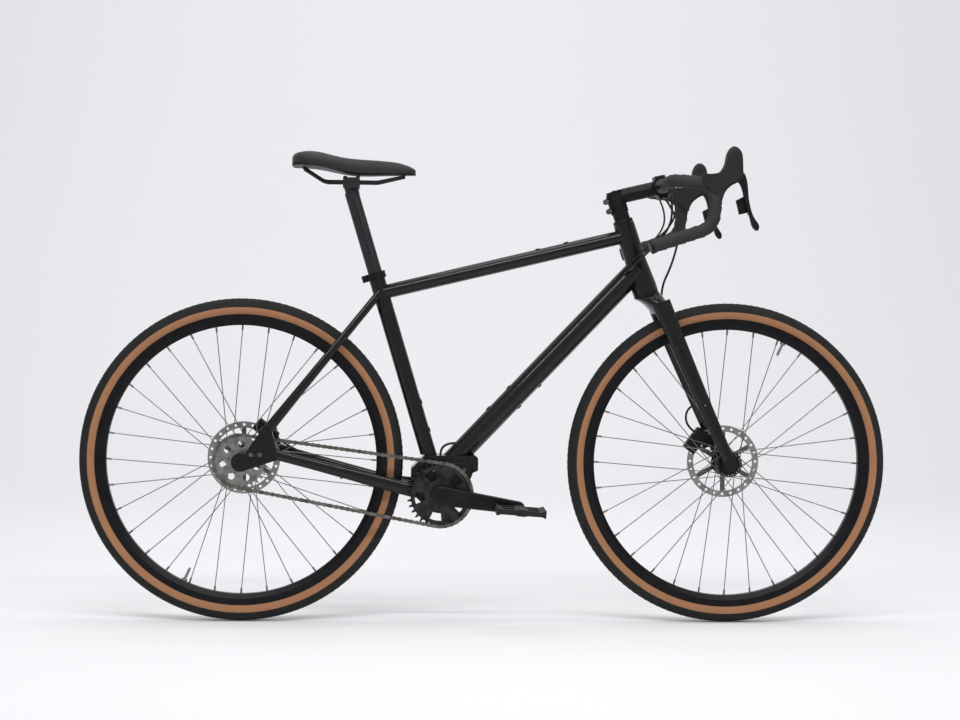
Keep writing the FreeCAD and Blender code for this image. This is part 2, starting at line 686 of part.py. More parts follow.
def make_hub(label, axle, left_end, right_end, left_flange, right_flange, rotor_offset):
    """The shell, turned in one piece, then drilled for the spokes."""
    body = new_body(label, FreeCAD.Placement(axle, FreeCAD.Rotation()))
    barrel = "dims.hub_barrel_radius"
    flange = "dims.flange_radius"
    seat = "dims.bearing_outer_radius + dims.running_gap"
    bore = "dims.hub_bore_radius"
    spigot = "dims.rotor_seat_radius - dims.seat_gap"
    shoulder = f"{rotor_offset} - dims.rotor_thickness / 2"
    revolve(body, label + "_shell", [
        (seat, f"-{right_end}"),
        (barrel, f"-{right_end}"),
        (barrel, f"-{right_flange} - dims.flange_width / 2"),
        (flange, f"-{right_flange} - dims.flange_width / 2"),
        (flange, f"-{right_flange} + dims.flange_width / 2"),
        (barrel, f"-{right_flange} + dims.flange_width / 2"),
        (barrel, f"{left_flange} - dims.flange_width / 2"),
        (flange, f"{left_flange} - dims.flange_width / 2"),
        (flange, f"{left_flange} + dims.flange_width / 2"),
        (barrel, f"{left_flange} + dims.flange_width / 2"),
        (barrel, shoulder),
        (spigot, shoulder),
        (spigot, left_end),
        (seat, left_end),
        (seat, f"{left_end} - dims.bearing_inset - dims.bearing_width"),
        (bore, f"{left_end} - dims.bearing_inset - dims.bearing_width"),
        (bore, f"-{right_end} + dims.bearing_inset + dims.bearing_width"),
        (seat, f"-{right_end} + dims.bearing_inset + dims.bearing_width"),
    ])

    def spoke_hole(sketch):
        circle(sketch, "dims.spoke_circle_radius", "0", "dims.spoke_radius + dims.spoke_hole_gap")

    pocket(body, label + "_spoke_holes", spoke_hole, "dims.spoke_count")


def make_bearings(label, axle, left_end, right_end):
    rings = []
    inset = size("bearing_inset")
    width = size("bearing_width")
    for start in (left_end - inset - width, -right_end + inset):
        rings.append(cross_tube(axle, start, start + width, size("bearing_outer_radius"),
                                size("bearing_inner_radius")))
    group(label, rings)


def make_axle(label, axle, half, shell_left, shell_right, end_thickness):
    """The thru axle, and the sleeve with end caps that it squeezes between the dropouts."""
    gap = size("axle_cap_gap")
    cap = size("axle_cap_radius")
    sleeve = cross_bar(axle, -half, half, size("bearing_inner_radius") - size("running_gap"))
    left_cap = cross_bar(axle, shell_left + gap, half, cap)
    right_cap = cross_bar(axle, -half, -shell_right - gap, cap)
    bore = cross_bar(axle, -half, half, size("axle_radius") + size("seat_gap"))
    outside = half + end_thickness + size("seat_gap")
    bar = cross_bar(axle, -outside, outside, size("axle_radius"))
    head = cross_bar(axle, outside, outside + size("axle_head_length"), size("axle_head_radius"))
    key = cross_bar(axle, outside + size("axle_head_length") / 3,
                    outside + size("axle_head_length"), size("axle_radius") / 2)
    group(label, [fuse([sleeve, left_cap, right_cap]).cut(bore), fuse([bar, head]).cut(key)])


def make_rotor(label, axle, offset):
    """A pierced steel track on a carrier with arms, and the ring that locks it on the hub."""
    body = new_body(label, FreeCAD.Placement(vec(axle.x, offset, axle.z), FreeCAD.Rotation()))
    track = "(dims.rotor_radius - dims.rotor_track)"
    share = "sin(180 deg / dims.rotor_arm_count)"
    low_half = f"(dims.rotor_centre_radius * {share} - dims.rotor_arm_width / 2)"
    high_half = f"({track} * {share} - dims.rotor_arm_width / 2)"
    high = f"sqrt({track} ^ 2 - {high_half} ^ 2)"
    low = f"sqrt(dims.rotor_centre_radius ^ 2 - {low_half} ^ 2)"

    def disc(sketch):
        circle(sketch, "0", "0", "dims.rotor_radius")
        circle(sketch, "0", "0", "dims.rotor_seat_radius")

    def window(sketch):
        outline(sketch, [
            (low, f"-{low_half}"),
            (high, f"-{high_half}", track, track, "0"),
            (high, high_half),
            (low, low_half, "dims.rotor_centre_radius", "dims.rotor_centre_radius", "0"),
        ])

    def vent(sketch):
        circle(sketch, "dims.rotor_radius - dims.rotor_track / 2", "0", "dims.rotor_hole_radius")

    pad(body, label + "_disc", disc, "dims.rotor_thickness")
    pocket(body, label + "_windows", window, "dims.rotor_arm_count")
    pocket(body, label + "_vents", vent, "dims.rotor_hole_count")


def spoke(hub_angle, rim_angle, flange_side, run_side, rim_side):
    """One spoke with its head, elbow and nipple, about the wheel's own centre.

    The run lies on the flange's run_side and the head on the other side."""
    circle_radius = size("spoke_circle_radius")
    thick = size("spoke_radius")
    past_flange = math.sqrt(size("flange_radius") ** 2 - circle_radius ** 2)
    lean = abs(flange_side - rim_side) / size("rim_inner_radius")
    stand = size("flange_width") / 2 + thick + size("seat_gap") + past_flange * lean
    at_hub = vec(math.cos(hub_angle), 0, math.sin(hub_angle)) * circle_radius
    elbow = at_hub + vec(0, flange_side + run_side * stand, 0)
    head = at_hub + vec(0, flange_side - run_side * (size("flange_width") / 2 + size("seat_gap")), 0)
    head_end = head - vec(0, run_side * size("spoke_head_length"), 0)
    bed = size("rim_inner_radius") - size("nipple_gap")
    at_rim = vec(math.cos(rim_angle) * bed, rim_side, math.sin(rim_angle) * bed)
    along = (at_rim - elbow).normalize()
    nipple_start = at_rim - along * size("nipple_length")
    return fuse([
        rod(head, elbow, thick),
        rod(head, head_end, size("spoke_head_radius")),
        Part.makeSphere(thick, elbow),
        rod(elbow, nipple_start, thick),
        rod(nipple_start, at_rim, size("nipple_radius")),
    ])


def make_spokes(label, axle, left_flange, right_flange):
    """Half the spokes of each flange lead and half trail, and these lie on the flange's two faces."""
    solids = []
    per_side = int(size("spoke_count") / 2)
    step = 2 * math.pi / per_side
    cross = math.radians(size("spoke_cross_angle"))
    sides = ((left_flange, size("rim_hole_offset"), 0.0),
             (-right_flange, -size("rim_hole_offset"), step / 2))
    for flange_side, rim_side, turn in sides:
        for lead in (1, -1):
            first = turn if lead > 0 else turn + step
            pattern = spoke(first, first + lead * cross, flange_side, lead, rim_side)
            for number in range(per_side // 2):
                copy = pattern.copy()
                copy.rotate(vec(0, 0, 0), vec(0, 1, 0), -math.degrees(2 * step) * number)
                copy.translate(axle)
                solids.append(copy)
    group(label, solids)


for wheel, axle in (("front", front_axle), ("rear", rear_axle)):
    make_rim(wheel + "_rim", axle)
    make_tyre(wheel + "_tyre", axle)
make_hub("front_hub", front_axle, "dims.front_shell_half", "dims.front_shell_half",
         "dims.front_left_flange", "dims.front_right_flange", "dims.front_rotor_offset")
make_hub("rear_hub", rear_axle, "dims.rear_shell_left", "dims.rear_shell_right",
         "dims.rear_left_flange", "dims.rear_right_flange", "dims.rear_rotor_offset")
make_bearings("front_bearings", front_axle, size("front_shell_half"), size("front_shell_half"))
make_bearings("rear_bearings", rear_axle, size("rear_shell_left"), size("rear_shell_right"))
make_spokes("front_spokes", front_axle, size("front_left_flange"), size("front_right_flange"))
make_spokes("rear_spokes", rear_axle, size("rear_left_flange"), size("rear_right_flange"))
make_rotor("front_rotor", front_axle, size("front_rotor_offset"))
make_rotor("rear_rotor", rear_axle, size("rear_rotor_offset"))


# Chain drive


def toothed_wheel(label, spot, teeth, gap_angle, bore):
    """A plate with roller gaps round its edge. gap_angle is where one gap stands."""
    turn = FreeCAD.Rotation(vec(0, 1, 0), -math.degrees(gap_angle))
    body = new_body(label, FreeCAD.Placement(vec(spot.x, -size("chain_line"), spot.z), turn))
    pitch_line = f"(dims.chain_pitch / (2 * sin(180 deg / {teeth})))"
    tip = f"({pitch_line} + dims.tooth_height)"
    seat = "(dims.roller_radius + dims.roller_seat_gap)"
    flank_in = f"({pitch_line} - {seat} * sin(dims.tooth_flank_angle * 1 deg))"
    flank_half = f"({seat} * cos(dims.tooth_flank_angle * 1 deg))"
    open_half = f"({tip} * sin(180 deg / {teeth}) - dims.tooth_tip_width / 2)"

    def disc(sketch):
        circle(sketch, "0", "0", tip)
        circle(sketch, "0", "0", bore)

    def gap(sketch):
        outline(sketch, [
            (flank_in, flank_half, seat, f"{pitch_line} - {seat}", "0"),
            (flank_in, f"-{flank_half}"),
            (f"{tip} + 1", f"-{open_half}"),
            (f"{tip} + 1", open_half),
        ])

    pad(body, label + "_plate", disc, "dims.sprocket_thickness")
    pocket(body, label + "_gaps", gap, teeth)
    return body


straight_run, ring_wrap, sprocket_wrap = chain_runs(axle_distance)
back = rear_axle - crank_axis
back_angle = math.atan2(back.z, back.x)
ring_start = back_angle + math.pi - ring_wrap
ring_links = ring_wrap * size("ring_teeth") / math.pi
run_links = straight_run / size("chain_pitch")
sprocket_links = sprocket_wrap * size("sprocket_teeth") / math.pi
sprocket_start = back_angle - sprocket_wrap
first_on_sprocket = math.ceil(ring_links + run_links)
sprocket_step = 2 * math.pi / size("sprocket_teeth")
sprocket_phase = sprocket_start + (first_on_sprocket - ring_links - run_links) * sprocket_step


def on_circle(centre, radius, angle):
    return centre + vec(math.cos(angle), 0, math.sin(angle)) * radius


def roller_spot(count):
    """Where roller number count sits, going round from the chainring's lower tangent."""
    ring_end = ring_start + 2 * ring_wrap
    sprocket_end = sprocket_start + 2 * sprocket_wrap
    ring_turn = 2 * math.pi / size("ring_teeth")
    if count <= ring_links:
        return on_circle(crank_axis, ring_pitch_radius, ring_start + count * ring_turn)
    count -= ring_links
    if count <= run_links:
        start = on_circle(crank_axis, ring_pitch_radius, ring_end)
        end = on_circle(rear_axle, sprocket_pitch_radius, sprocket_start)
        return start + (end - start) * (count / run_links)
    count -= run_links
    if count <= sprocket_links:
        return on_circle(rear_axle, sprocket_pitch_radius, sprocket_start + count * sprocket_step)
    count -= sprocket_links
    start = on_circle(rear_axle, sprocket_pitch_radius, sprocket_end)
    end = on_circle(crank_axis, ring_pitch_radius, ring_start)
    return start + (end - start) * (count / run_links)


def chain_plate(inner_side):
    """A waisted plate between two pins, its inner face this far from the middle."""
    half = size("chain_pitch") / 2
    end = size("chain_plate_height") / 2
    lean = math.radians(size("plate_waist_angle"))
    high = end * math.sin(lean)
    near = half + end * math.cos(lean)
    waist = size("chain_plate_waist") / 2
    edges = [
        Part.Arc(vec(near, 0, -high), vec(half + end, 0, 0), vec(near, 0, high)).toShape(),
        Part.Arc(vec(near, 0, high), vec(0, 0, waist), vec(-near, 0, high)).toShape(),
        Part.Arc(vec(-near, 0, high), vec(-half - end, 0, 0), vec(-near, 0, -high)).toShape(),
        Part.Arc(vec(-near, 0, -high), vec(0, 0, -waist), vec(near, 0, -high)).toShape(),
    ]
    plate = Part.Face(Part.Wire(edges)).extrude(vec(0, size("chain_plate_thickness"), 0))
    plate.translate(vec(0, inner_side, 0))
    return plate


def chain_link(inner):
    """An inner link has two rollers with a bore, and an outer link two pins."""
    thickness = size("chain_plate_thickness")
    inside = size("chain_inner_width") / 2
    if not inner:
        inside += thickness + size("chain_plate_gap")
    outside = inside + thickness
    pins = [vec(side * size("chain_pitch") / 2, 0, 0) for side in (-1, 1)]
    plates = [chain_plate(inside), chain_plate(-outside)]
    if inner:
        rollers = [cross_bar(pin, -inside, inside, size("roller_radius")) for pin in pins]
        bore = size("chain_pin_radius") + size("running_gap")
        bores = [cross_bar(pin, -outside, outside, bore) for pin in pins]
        return fuse(plates + rollers).cut(Part.makeCompound(bores))
    reach = outside + size("chain_pin_stand")
    return fuse(plates + [cross_bar(pin, -reach, reach, size("chain_pin_radius")) for pin in pins])


def make_chain():
    patterns = (chain_link(True), chain_link(False))
    links = []
    total = int(size("chain_link_count"))
    for number in range(total):
        here = roller_spot(number)
        there = roller_spot((number + 1) % total)
        run = there - here
        link = patterns[number % 2].copy()
        link.rotate(vec(0, 0, 0), vec(0, 1, 0), -math.degrees(math.atan2(run.z, run.x)))
        link.translate((here + there) / 2 - vec(0, size("chain_line"), 0))
        links.append(link)
    group("chain", links)


def make_chainring():
    """The ring, with windows, on the sleeve that leaves the gearbox round the spindle."""
    bore = "dims.spindle_radius + dims.side_gap"
    body = toothed_wheel("chainring", crank_axis, "dims.ring_teeth", ring_start, bore)
    low_half = "dims.ring_window_low_half"
    high_half = "dims.ring_window_half"

    def window(sketch):
        outline(sketch, [
            ("dims.ring_window_inner", f"-{low_half}"),
            (f"sqrt(dims.ring_window_outer ^ 2 - {high_half} ^ 2)", f"-{high_half}",
             "dims.ring_window_outer", "dims.ring_window_outer", "0"),
            (f"sqrt(dims.ring_window_outer ^ 2 - {high_half} ^ 2)", high_half),
            ("dims.ring_window_inner", low_half),
        ])

    pocket(body, "chainring_windows", window, "dims.ring_window_count")
    cover = "dims.chain_line - dims.gearbox_half - dims.gearbox_cover_thickness - dims.side_gap"
    arm = "dims.chain_line - dims.crank_inner + dims.side_gap"
    revolve(body, "chainring_sleeve", [
        (bore, arm),
        ("dims.ring_sleeve_radius", arm),
        ("dims.ring_sleeve_radius", cover),
        (bore, cover),
    ])
    body.Tip = body.Group[-1]


def make_rear_sprocket():
    """The sprocket on its freewheel body, which turns on the axle's sleeve."""
    bore = "dims.bearing_inner_radius"
    body = toothed_wheel("rear_sprocket", rear_axle, "dims.sprocket_teeth", sprocket_phase, bore)

    def window(sketch):
        circle(sketch, "dims.sprocket_window_circle", "0", "dims.sprocket_window_radius")

    pocket(body, "sprocket_windows", window, "dims.sprocket_window_count")
    inner_end = "dims.chain_line - dims.rear_shell_right - dims.side_gap"
    outer_end = "dims.chain_line - dims.freewheel_end"
    shoulder = "dims.sprocket_thickness / 2 + 3"
    revolve(body, "freewheel_body", [
        (bore, outer_end),
        ("dims.sprocket_carrier_radius", outer_end),
        ("dims.sprocket_carrier_radius", f"-({shoulder})"),
        ("dims.sprocket_carrier_flange", f"-({shoulder})"),
        ("dims.sprocket_carrier_flange", shoulder),
        ("dims.sprocket_carrier_radius", shoulder),
        ("dims.sprocket_carrier_radius", inner_end),
        (bore, inner_end),
    ])
    body.Tip = body.Group[-1]


make_chain()
make_chainring()
make_rear_sprocket()
make_axle("front_axle", front_axle, size("front_hub_half"), size("front_shell_half"),
          size("front_shell_half"), size("leg_bottom_width"))
make_axle("rear_axle", rear_axle, size("rear_hub_half"), size("rear_shell_left"),
          size("freewheel_end"), size("dropout_thickness"))


# Cranks and pedals


def tapered_face(big, small, length):
    """Two circles joined by their outer tangents, in the XZ plane, the big one at the origin."""
    lean = math.asin((big - small) / length)
    normal = vec(math.sin(lean), 0, math.cos(lean))
    mirror = vec(normal.x, 0, -normal.z)
    far = vec(length, 0, 0)
    edges = [
        Part.Arc(mirror * big, vec(-big, 0, 0), normal * big).toShape(),
        Part.LineSegment(normal * big, far + normal * small).toShape(),
        Part.Arc(far + normal * small, far + vec(small, 0, 0), far + mirror * small).toShape(),
        Part.LineSegment(far + mirror * small, mirror * big).toShape(),
    ]
    return Part.Face(Part.Wire(edges))


def round_rims(solid, radius, keep_edge):
    """Rounds the edges that keep_edge picks."""
    return solid.makeFillet(radius, [edge for edge in solid.Edges if keep_edge(edge)])


def flat_in_y(edge):
    """Whether an edge lies at one distance from the middle of the bike."""
    box = edge.BoundBox
    return box.YLength < 1e-4


pedal_start = (size("crank_inner") + size("crank_thickness") + size("seat_gap")
               + size("pedal_collar_length") + size("side_gap"))
pedal_axle_end = pedal_start + size("pedal_width") - size("pedal_collar_length")


def turned_arm(shape, side, angle):
    """Puts an arm drawn along +X, with its inner face at y = 0, on its side of the bike."""
    if side < 0:
        shape = shape.mirror(vec(0, 0, 0), vec(0, 1, 0))
    shape.rotate(vec(0, 0, 0), vec(0, 1, 0), -angle)
    shape.translate(vec(crank_axis.x, side * size("crank_inner"), crank_axis.z))
    return shape


def make_crank(label, side, angle):
    """A forged arm with a hollow in its outer face, and the axle of its pedal."""
    thickness = size("crank_thickness")
    length = size("crank_length")
    blank = tapered_face(size("crank_boss_radius"), size("crank_eye_radius"), length)
    arm = round_rims(blank.extrude(vec(0, thickness, 0)), size("crank_edge"), flat_in_y)
    margin = size("crank_eye_radius") + size("crank_edge")
    hollow_start = size("crank_boss_radius") + size("crank_edge")
    hollow = tapered_face(size("crank_groove_boss_half"), size("crank_groove_eye_half"),
                          length - hollow_start - 2 * margin)
    hollow.translate(vec(hollow_start + margin / 2, thickness - size("crank_groove_depth"), 0))
    arm = arm.cut(hollow.extrude(vec(0, thickness, 0)))
    cap = cross_bar(vec(0, 0, 0), thickness - 1, thickness + size("crank_cap_length"),
                    size("crank_cap_radius"))
    key = cross_bar(vec(0, 0, 0), thickness, thickness + size("crank_cap_length"),
                    size("crank_cap_radius") / 2)
    eye = vec(length, 0, 0)
    axle_hole = cross_bar(eye, 0, thickness, size("pedal_axle_radius") + size("seat_gap"))
    arm = fuse([arm, cap]).cut(key).cut(axle_hole)
    if side < 0:
        spindle_end = -2 * size("crank_inner") - thickness + size("crank_cap_length")
        arm = fuse([arm, cross_bar(vec(0, 0, 0), spindle_end, 1, size("spindle_radius"))])
    else:
        arm = arm.cut(cross_bar(vec(0, 0, 0), 0, thickness - size("crank_cap_length") + 0.1,
                                size("spindle_radius") + size("seat_gap")))
    outside = thickness + size("seat_gap")
    axle = fuse([
        cross_bar(eye, 0, pedal_axle_end - size("crank_inner"), size("pedal_axle_radius")),
        cross_bar(eye, outside, outside + size("pedal_collar_length"), size("pedal_collar_radius")),
    ])
    group(label, [turned_arm(arm, side, angle), turned_arm(axle, side, angle)])


def make_pedal(label, side, angle):
    """A thin platform, flared at both ends and pierced by four windows, on its axle."""
    half = size("pedal_length") / 2
    end = size("pedal_end_height") / 2
    waist = size("pedal_waist_height") / 2
    middle = size("pedal_middle_height") / 2
    flare = end
    upper = [(half, end), (half - flare, waist), (2 * middle, waist), (middle, middle)]
    right = [vec(x, 0, z) for x, z in upper] + [vec(-x, 0, z) for x, z in reversed(upper)]
    points = right + [vec(point.x, 0, -point.z) for point in reversed(right)]
    face = Part.Face(Part.makePolygon(points + points[:1]))
    width = size("pedal_width")
    body = face.extrude(vec(0, width, 0))
    long = size("pedal_window_length")
    wide = size("pedal_window_width")
    rib = (width - 2 * wide) / 3
    for ahead in (2 * middle, -2 * middle - long):
        for start in (rib, 2 * rib + wide):
            body = body.cut(Part.makeBox(long, wide, 2 * end, vec(ahead, start, -end)))
    depth = pedal_axle_end - pedal_start + size("seat_gap")
    body = body.cut(cross_bar(vec(0, 0, 0), 0, depth, size("pedal_axle_radius") + size("running_gap")))
    if side < 0:
        body = body.mirror(vec(0, 0, 0), vec(0, 1, 0))
    body.rotate(vec(0, 0, 0), vec(0, 1, 0), -size("pedal_tilt"))
    spot = on_circle(crank_axis, size("crank_length"), math.radians(angle))
    body.translate(vec(spot.x, side * pedal_start, spot.z))
    feature(label, body)


for name, side, angle in (("right", -1, size("crank_angle")), ("left", 1, size("crank_angle") + 180)):
    make_crank("crank_" + name, side, angle)
    make_pedal("pedal_" + name, side, angle)


# Gearbox and the arch that carries it

BOX_DIAGONAL = "sin(45 deg)"


def box_outline(inset):
    """The housing's outline about the crank axis, drawn in by a distance."""
    low = f"(dims.gearbox_bottom - {inset})"
    front = f"(dims.gearbox_front - {inset})"
    back = f"(dims.gearbox_back - {inset})"
    top = f"(dims.gearbox_top - {inset})"
    return [
        (f"-{low} * {BOX_DIAGONAL}", f"-{low} * {BOX_DIAGONAL}", low, "0", f"-{low}"),
        (f"{low} * {BOX_DIAGONAL}", f"-{low} * {BOX_DIAGONAL}"),
        (f"{front} - dims.gearbox_chin", "-dims.gearbox_chin_drop"),
        (front, "dims.gearbox_brow"),
        (front, f"{top} - dims.gearbox_front_bevel"),
        (f"{front} - dims.gearbox_front_bevel", top),
        (f"-{back} + dims.gearbox_back_bevel", top),
        (f"-{back}", f"{top} - dims.gearbox_back_bevel"),
        (f"-{back}", "-dims.gearbox_back_foot"),
    ]


def edges_named(shape, test):
    return [f"Edge{number}" for number, edge in enumerate(shape.Edges, start=1) if test(edge)]


def make_gearbox():
    housing = new_body("gearbox_housing", FreeCAD.Placement(crank_axis, FreeCAD.Rotation()))
    block = pad(housing, "housing_block", lambda sketch: outline(sketch, box_outline("0")),
                "2 * dims.gearbox_half")
    rim = housing.newObject("PartDesign::Fillet", "housing_edges")
    rim.Base = (block, edges_named(block.Shape, flat_in_y))
    rim.setExpression("Radius", "dims.gearbox_edge")
    doc.recompute()
    bore = "dims.spindle_radius + dims.running_gap"
    pocket(housing, "spindle_bore", lambda sketch: circle(sketch, "0", "0", bore))
    revolve(housing, "left_boss", [
        (bore, "dims.gearbox_half - dims.gearbox_edge"),
        ("dims.gearbox_bottom - dims.gearbox_boss_inset", "dims.gearbox_half - dims.gearbox_edge"),
        ("dims.gearbox_bottom - dims.gearbox_boss_inset",
         "dims.gearbox_half + dims.gearbox_cover_thickness / 2"),
        ("dims.ring_sleeve_radius", "dims.gearbox_half + dims.gearbox_cover_thickness"),
        (bore, "dims.gearbox_half + dims.gearbox_cover_thickness"),
    ])
    housing.Tip = housing.Group[-1]

    middle = size("gearbox_half") + size("gearbox_cover_thickness") / 2
    cover = new_body("gearbox_cover", FreeCAD.Placement(crank_axis - vec(0, middle, 0),
                                                        FreeCAD.Rotation()))
    plate = pad(cover, "cover_plate",
                lambda sketch: outline(sketch, box_outline("dims.gearbox_cover_inset")),
                "dims.gearbox_cover_thickness")
    outer = cover.newObject("PartDesign::Fillet", "cover_edge")
    outer.Base = (plate, edges_named(plate.Shape, lambda edge: flat_in_y(edge)
                                     and edge.BoundBox.YMin < 0))
    outer.setExpression("Radius", "dims.gearbox_cover_edge")
    doc.recompute()
    inset = "(dims.gearbox_cover_inset + dims.cover_bolt_inset)"

    def cover_holes(sketch):
        circle(sketch, "0", "0", "dims.spindle_radius + dims.side_gap")
        hole = "dims.bolt_radius + dims.seat_gap"
        circle(sketch, f"dims.gearbox_front - {inset}", f"dims.gearbox_top - {inset}", hole)
        circle(sketch, f"2 * {inset} - dims.gearbox_back", f"dims.gearbox_top - {inset}", hole)

    pocket(cover, "cover_bores", cover_holes)


def make_cradle():
    """The arch is cut from one plate and follows the housing's back, top and front."""
    body = new_body("gearbox_cradle", FreeCAD.Placement(crank_axis, FreeCAD.Rotation()))
    gap = "dims.seat_gap"
    wall = "dims.cradle_wall"
    front = "dims.gearbox_front"
    back = "dims.gearbox_back"
    top = "dims.gearbox_top"
    ramp = f"{gap} * tan(22.5 deg)"
    pad(body, "arch", lambda sketch: outline(sketch, [
        (f"-{back} - {wall}", "-dims.gearbox_back_foot"),
        (f"-{back} - {wall}", f"{top} + {wall} - dims.cradle_bevel"),
        (f"-{back} - {wall} + dims.cradle_bevel", f"{top} + {wall}"),
        (f"{front} + {wall} - dims.cradle_round", f"{top} + {wall}"),
        (f"{front} + {wall}", f"{top} + {wall} - dims.cradle_round"),
        (f"{front} + {wall}", f"{top} - dims.cradle_lip"),
        (f"{front} + {gap}", f"{top} - dims.cradle_lip - dims.cradle_round"),
        (f"{front} + {gap}", f"{top} - dims.gearbox_front_bevel + {ramp}"),
        (f"{front} - dims.gearbox_front_bevel + {ramp}", f"{top} + {gap}"),
        (f"-{back} + dims.gearbox_back_bevel - {ramp}", f"{top} + {gap}"),
        (f"-{back} - {gap}", f"{top} - dims.gearbox_back_bevel + {ramp}"),
        (f"-{back} - {gap}", "-dims.gearbox_back_foot"),
    ]), "2 * dims.cradle_half")


make_gearbox()
make_cradle()

# Frame tubes

cradle_top = crank_axis.z + size("gearbox_top") + size("cradle_wall")
head_tube_low = size("crown_height") + size("lower_stack")
head_tube_top = head_tube_low + size("head_tube_length")


def ellipse_wire(centre, high_axis, high, wide):
    """An ellipse whose width lies along Y and whose height lies along high_axis."""
    tall = centre + high_axis * (high / 2)
    side = centre + vec(0, wide / 2, 0)
    if wide >= high:
        return Part.Wire(Part.Ellipse(side, tall, centre).toShape())
    return Part.Wire(Part.Ellipse(tall, side, centre).toShape())


def straight_tube(start, end, high, wide, wall):
    """A hollow tube of one oval section, and the same tube filled."""
    along = end - start
    high_axis = along.cross(vec(0, 1, 0)).normalize()
    outer = Part.Face(ellipse_wire(start, high_axis, high, wide)).extrude(along)
    inner = Part.Face(ellipse_wire(start, high_axis, high - 2 * wall, wide - 2 * wall)).extrude(along)
    return outer.cut(inner), outer


def below(height):
    """Everything under a level."""
    far = 2 * size("wheelbase")
    return Part.makeBox(2 * far, 2 * far, far, vec(-far, -far, height - far))


def head_tube_block(extra):
    """The head tube filled, this much larger all round."""
    low = size("head_tube_low_radius") + extra
    top = size("head_tube_top_radius") + extra
    cup = size("head_tube_cup")
    cone = size("head_tube_length") / 2 - cup
    start = on_steer(head_tube_low)
    return fuse([
        Part.makeCylinder(low, cup, start, steer_up),
        Part.makeCone(low, top, cone, start + steer_up * cup, steer_up),
        Part.makeCylinder(top, size("head_tube_length") - cup - cone, start + steer_up * (cup + cone),
                          steer_up),
    ])


def seat_tube_block(extra):
    return Part.makeCylinder(size("seat_tube_radius") + extra, size("seat_tube_length"), crank_axis,
                             seat_up)


class Boss:
    """A threaded boss let into a tube: spot is on the tube's outside, and out points away."""

    def __init__(self, spot, out):
        inside = spot - out * size("boss_depth")
        outside = spot + out * size("boss_stand")
        self.solid = rod(inside, outside, size("boss_radius"))
        self.hole = rod(inside, outside, size("boss_hole_radius"))


def with_bosses(tube, bosses):
    solids = [tube] + [boss.solid for boss in bosses]
    return fuse(solids).cut(Part.makeCompound([boss.hole for boss in bosses]))


def boss_pair(start, along, out):
    return [Boss(start, out), Boss(start + along * size("boss_spacing"), out)]


def make_main_triangle():
    gap = size("weld_gap")
    head_cutter = head_tube_block(gap)
    seat_cutter = seat_tube_block(gap)
    wall = size("tube_wall")

    top_start = on_seat(size("top_tube_seat_joint"))
    top_end = on_steer(size("top_tube_head_joint"))
    along = (top_end - top_start).normalize()
    over = vec(-along.z, 0, along.x)
    tube, _ = straight_tube(top_start, top_end, size("top_tube_height"), size("top_tube_width"), wall)
    tube = tube.cut(seat_cutter).cut(head_cutter)
    first = top_start + along * size("top_tube_boss") + over * (size("top_tube_height") / 2)
    feature("top_tube", with_bosses(tube, boss_pair(first, along, over)))

    foot = vec(crank_axis.x + size("down_tube_foot"), 0, cradle_top)
    down_end = on_steer(size("down_tube_head_joint"))
    along = (down_end - foot).normalize()
    over = vec(-along.z, 0, along.x)
    start = foot - along * size("down_tube_height")
    tube, filled = straight_tube(start, down_end, size("down_tube_height"), size("down_tube_width"), wall)
    tube = tube.cut(below(cradle_top + gap)).cut(head_cutter)
    half = over * (size("down_tube_height") / 2)
    upper = foot + along * size("down_tube_upper_boss") + half
    lower = foot + along * size("down_tube_lower_boss") - half
    bosses = boss_pair(upper, along, over) + boss_pair(lower, along, over * -1)
    top_filled = straight_tube(top_start, top_end, size("top_tube_height"), size("top_tube_width"), wall)[1]
    feature("down_tube", with_bosses(tube.cut(top_filled), bosses))

    tube = seat_tube_block(0).cut(Part.makeCylinder(size("post_radius") + size("running_gap"),
                                                    size("seat_tube_length"), crank_axis, seat_up))
    tube = tube.cut(below(cradle_top + gap)).cut(filled)
    first = on_seat(size("seat_tube_boss"), size("seat_tube_radius"))
    shallow = [Boss(spot, seat_front) for spot in (first, first + seat_up * size("boss_spacing"))]
    feature("seat_tube", with_bosses(tube, shallow).cut(
        Part.makeCylinder(size("post_radius") + size("running_gap"), size("seat_tube_length"),
                          crank_axis, seat_up)))


def make_head_tube():
    place = place_along(on_steer(head_tube_low), steer_up, "Y")
    body = new_body("head_tube", place)
    low = "dims.head_tube_low_radius"
    top = "dims.head_tube_top_radius"
    length = "dims.head_tube_length"
    bore = "dims.steerer_low_radius + dims.head_tube_gap"
    low_seat = "dims.headset_low_radius + dims.seat_gap"
    top_seat = "dims.headset_top_radius + dims.seat_gap"
    revolve(body, "head_tube_wall", [
        (low_seat, "0"),
        (low, "0"),
        (low, "dims.head_tube_cup"),
        (top, f"{length} / 2"),
        (top, length),
        (top_seat, length),
        (top_seat, f"{length} - dims.headset_bearing_height - dims.seat_gap"),
        (bore, f"{length} - dims.headset_bearing_height - dims.seat_gap"),
        (bore, "dims.headset_bearing_height + dims.seat_gap"),
        (low_seat, "dims.headset_bearing_height + dims.seat_gap"),
    ])


make_main_triangle()
make_head_tube()

# Rear stays and dropouts

dropout_side = size("rear_hub_half") + size("dropout_thickness") / 2
stay_root_x = crank_axis.x - size("gearbox_back") - size("cradle_wall") - size("weld_gap")
stay_end_x = rear_axle.x + size("dropout_reach")


def chain_stay_level(x):
    rise = math.tan(math.radians(size("chain_stay_rise")))
    return crank_axis.z + size("chain_stay_root_height") + (stay_root_x - x) * rise


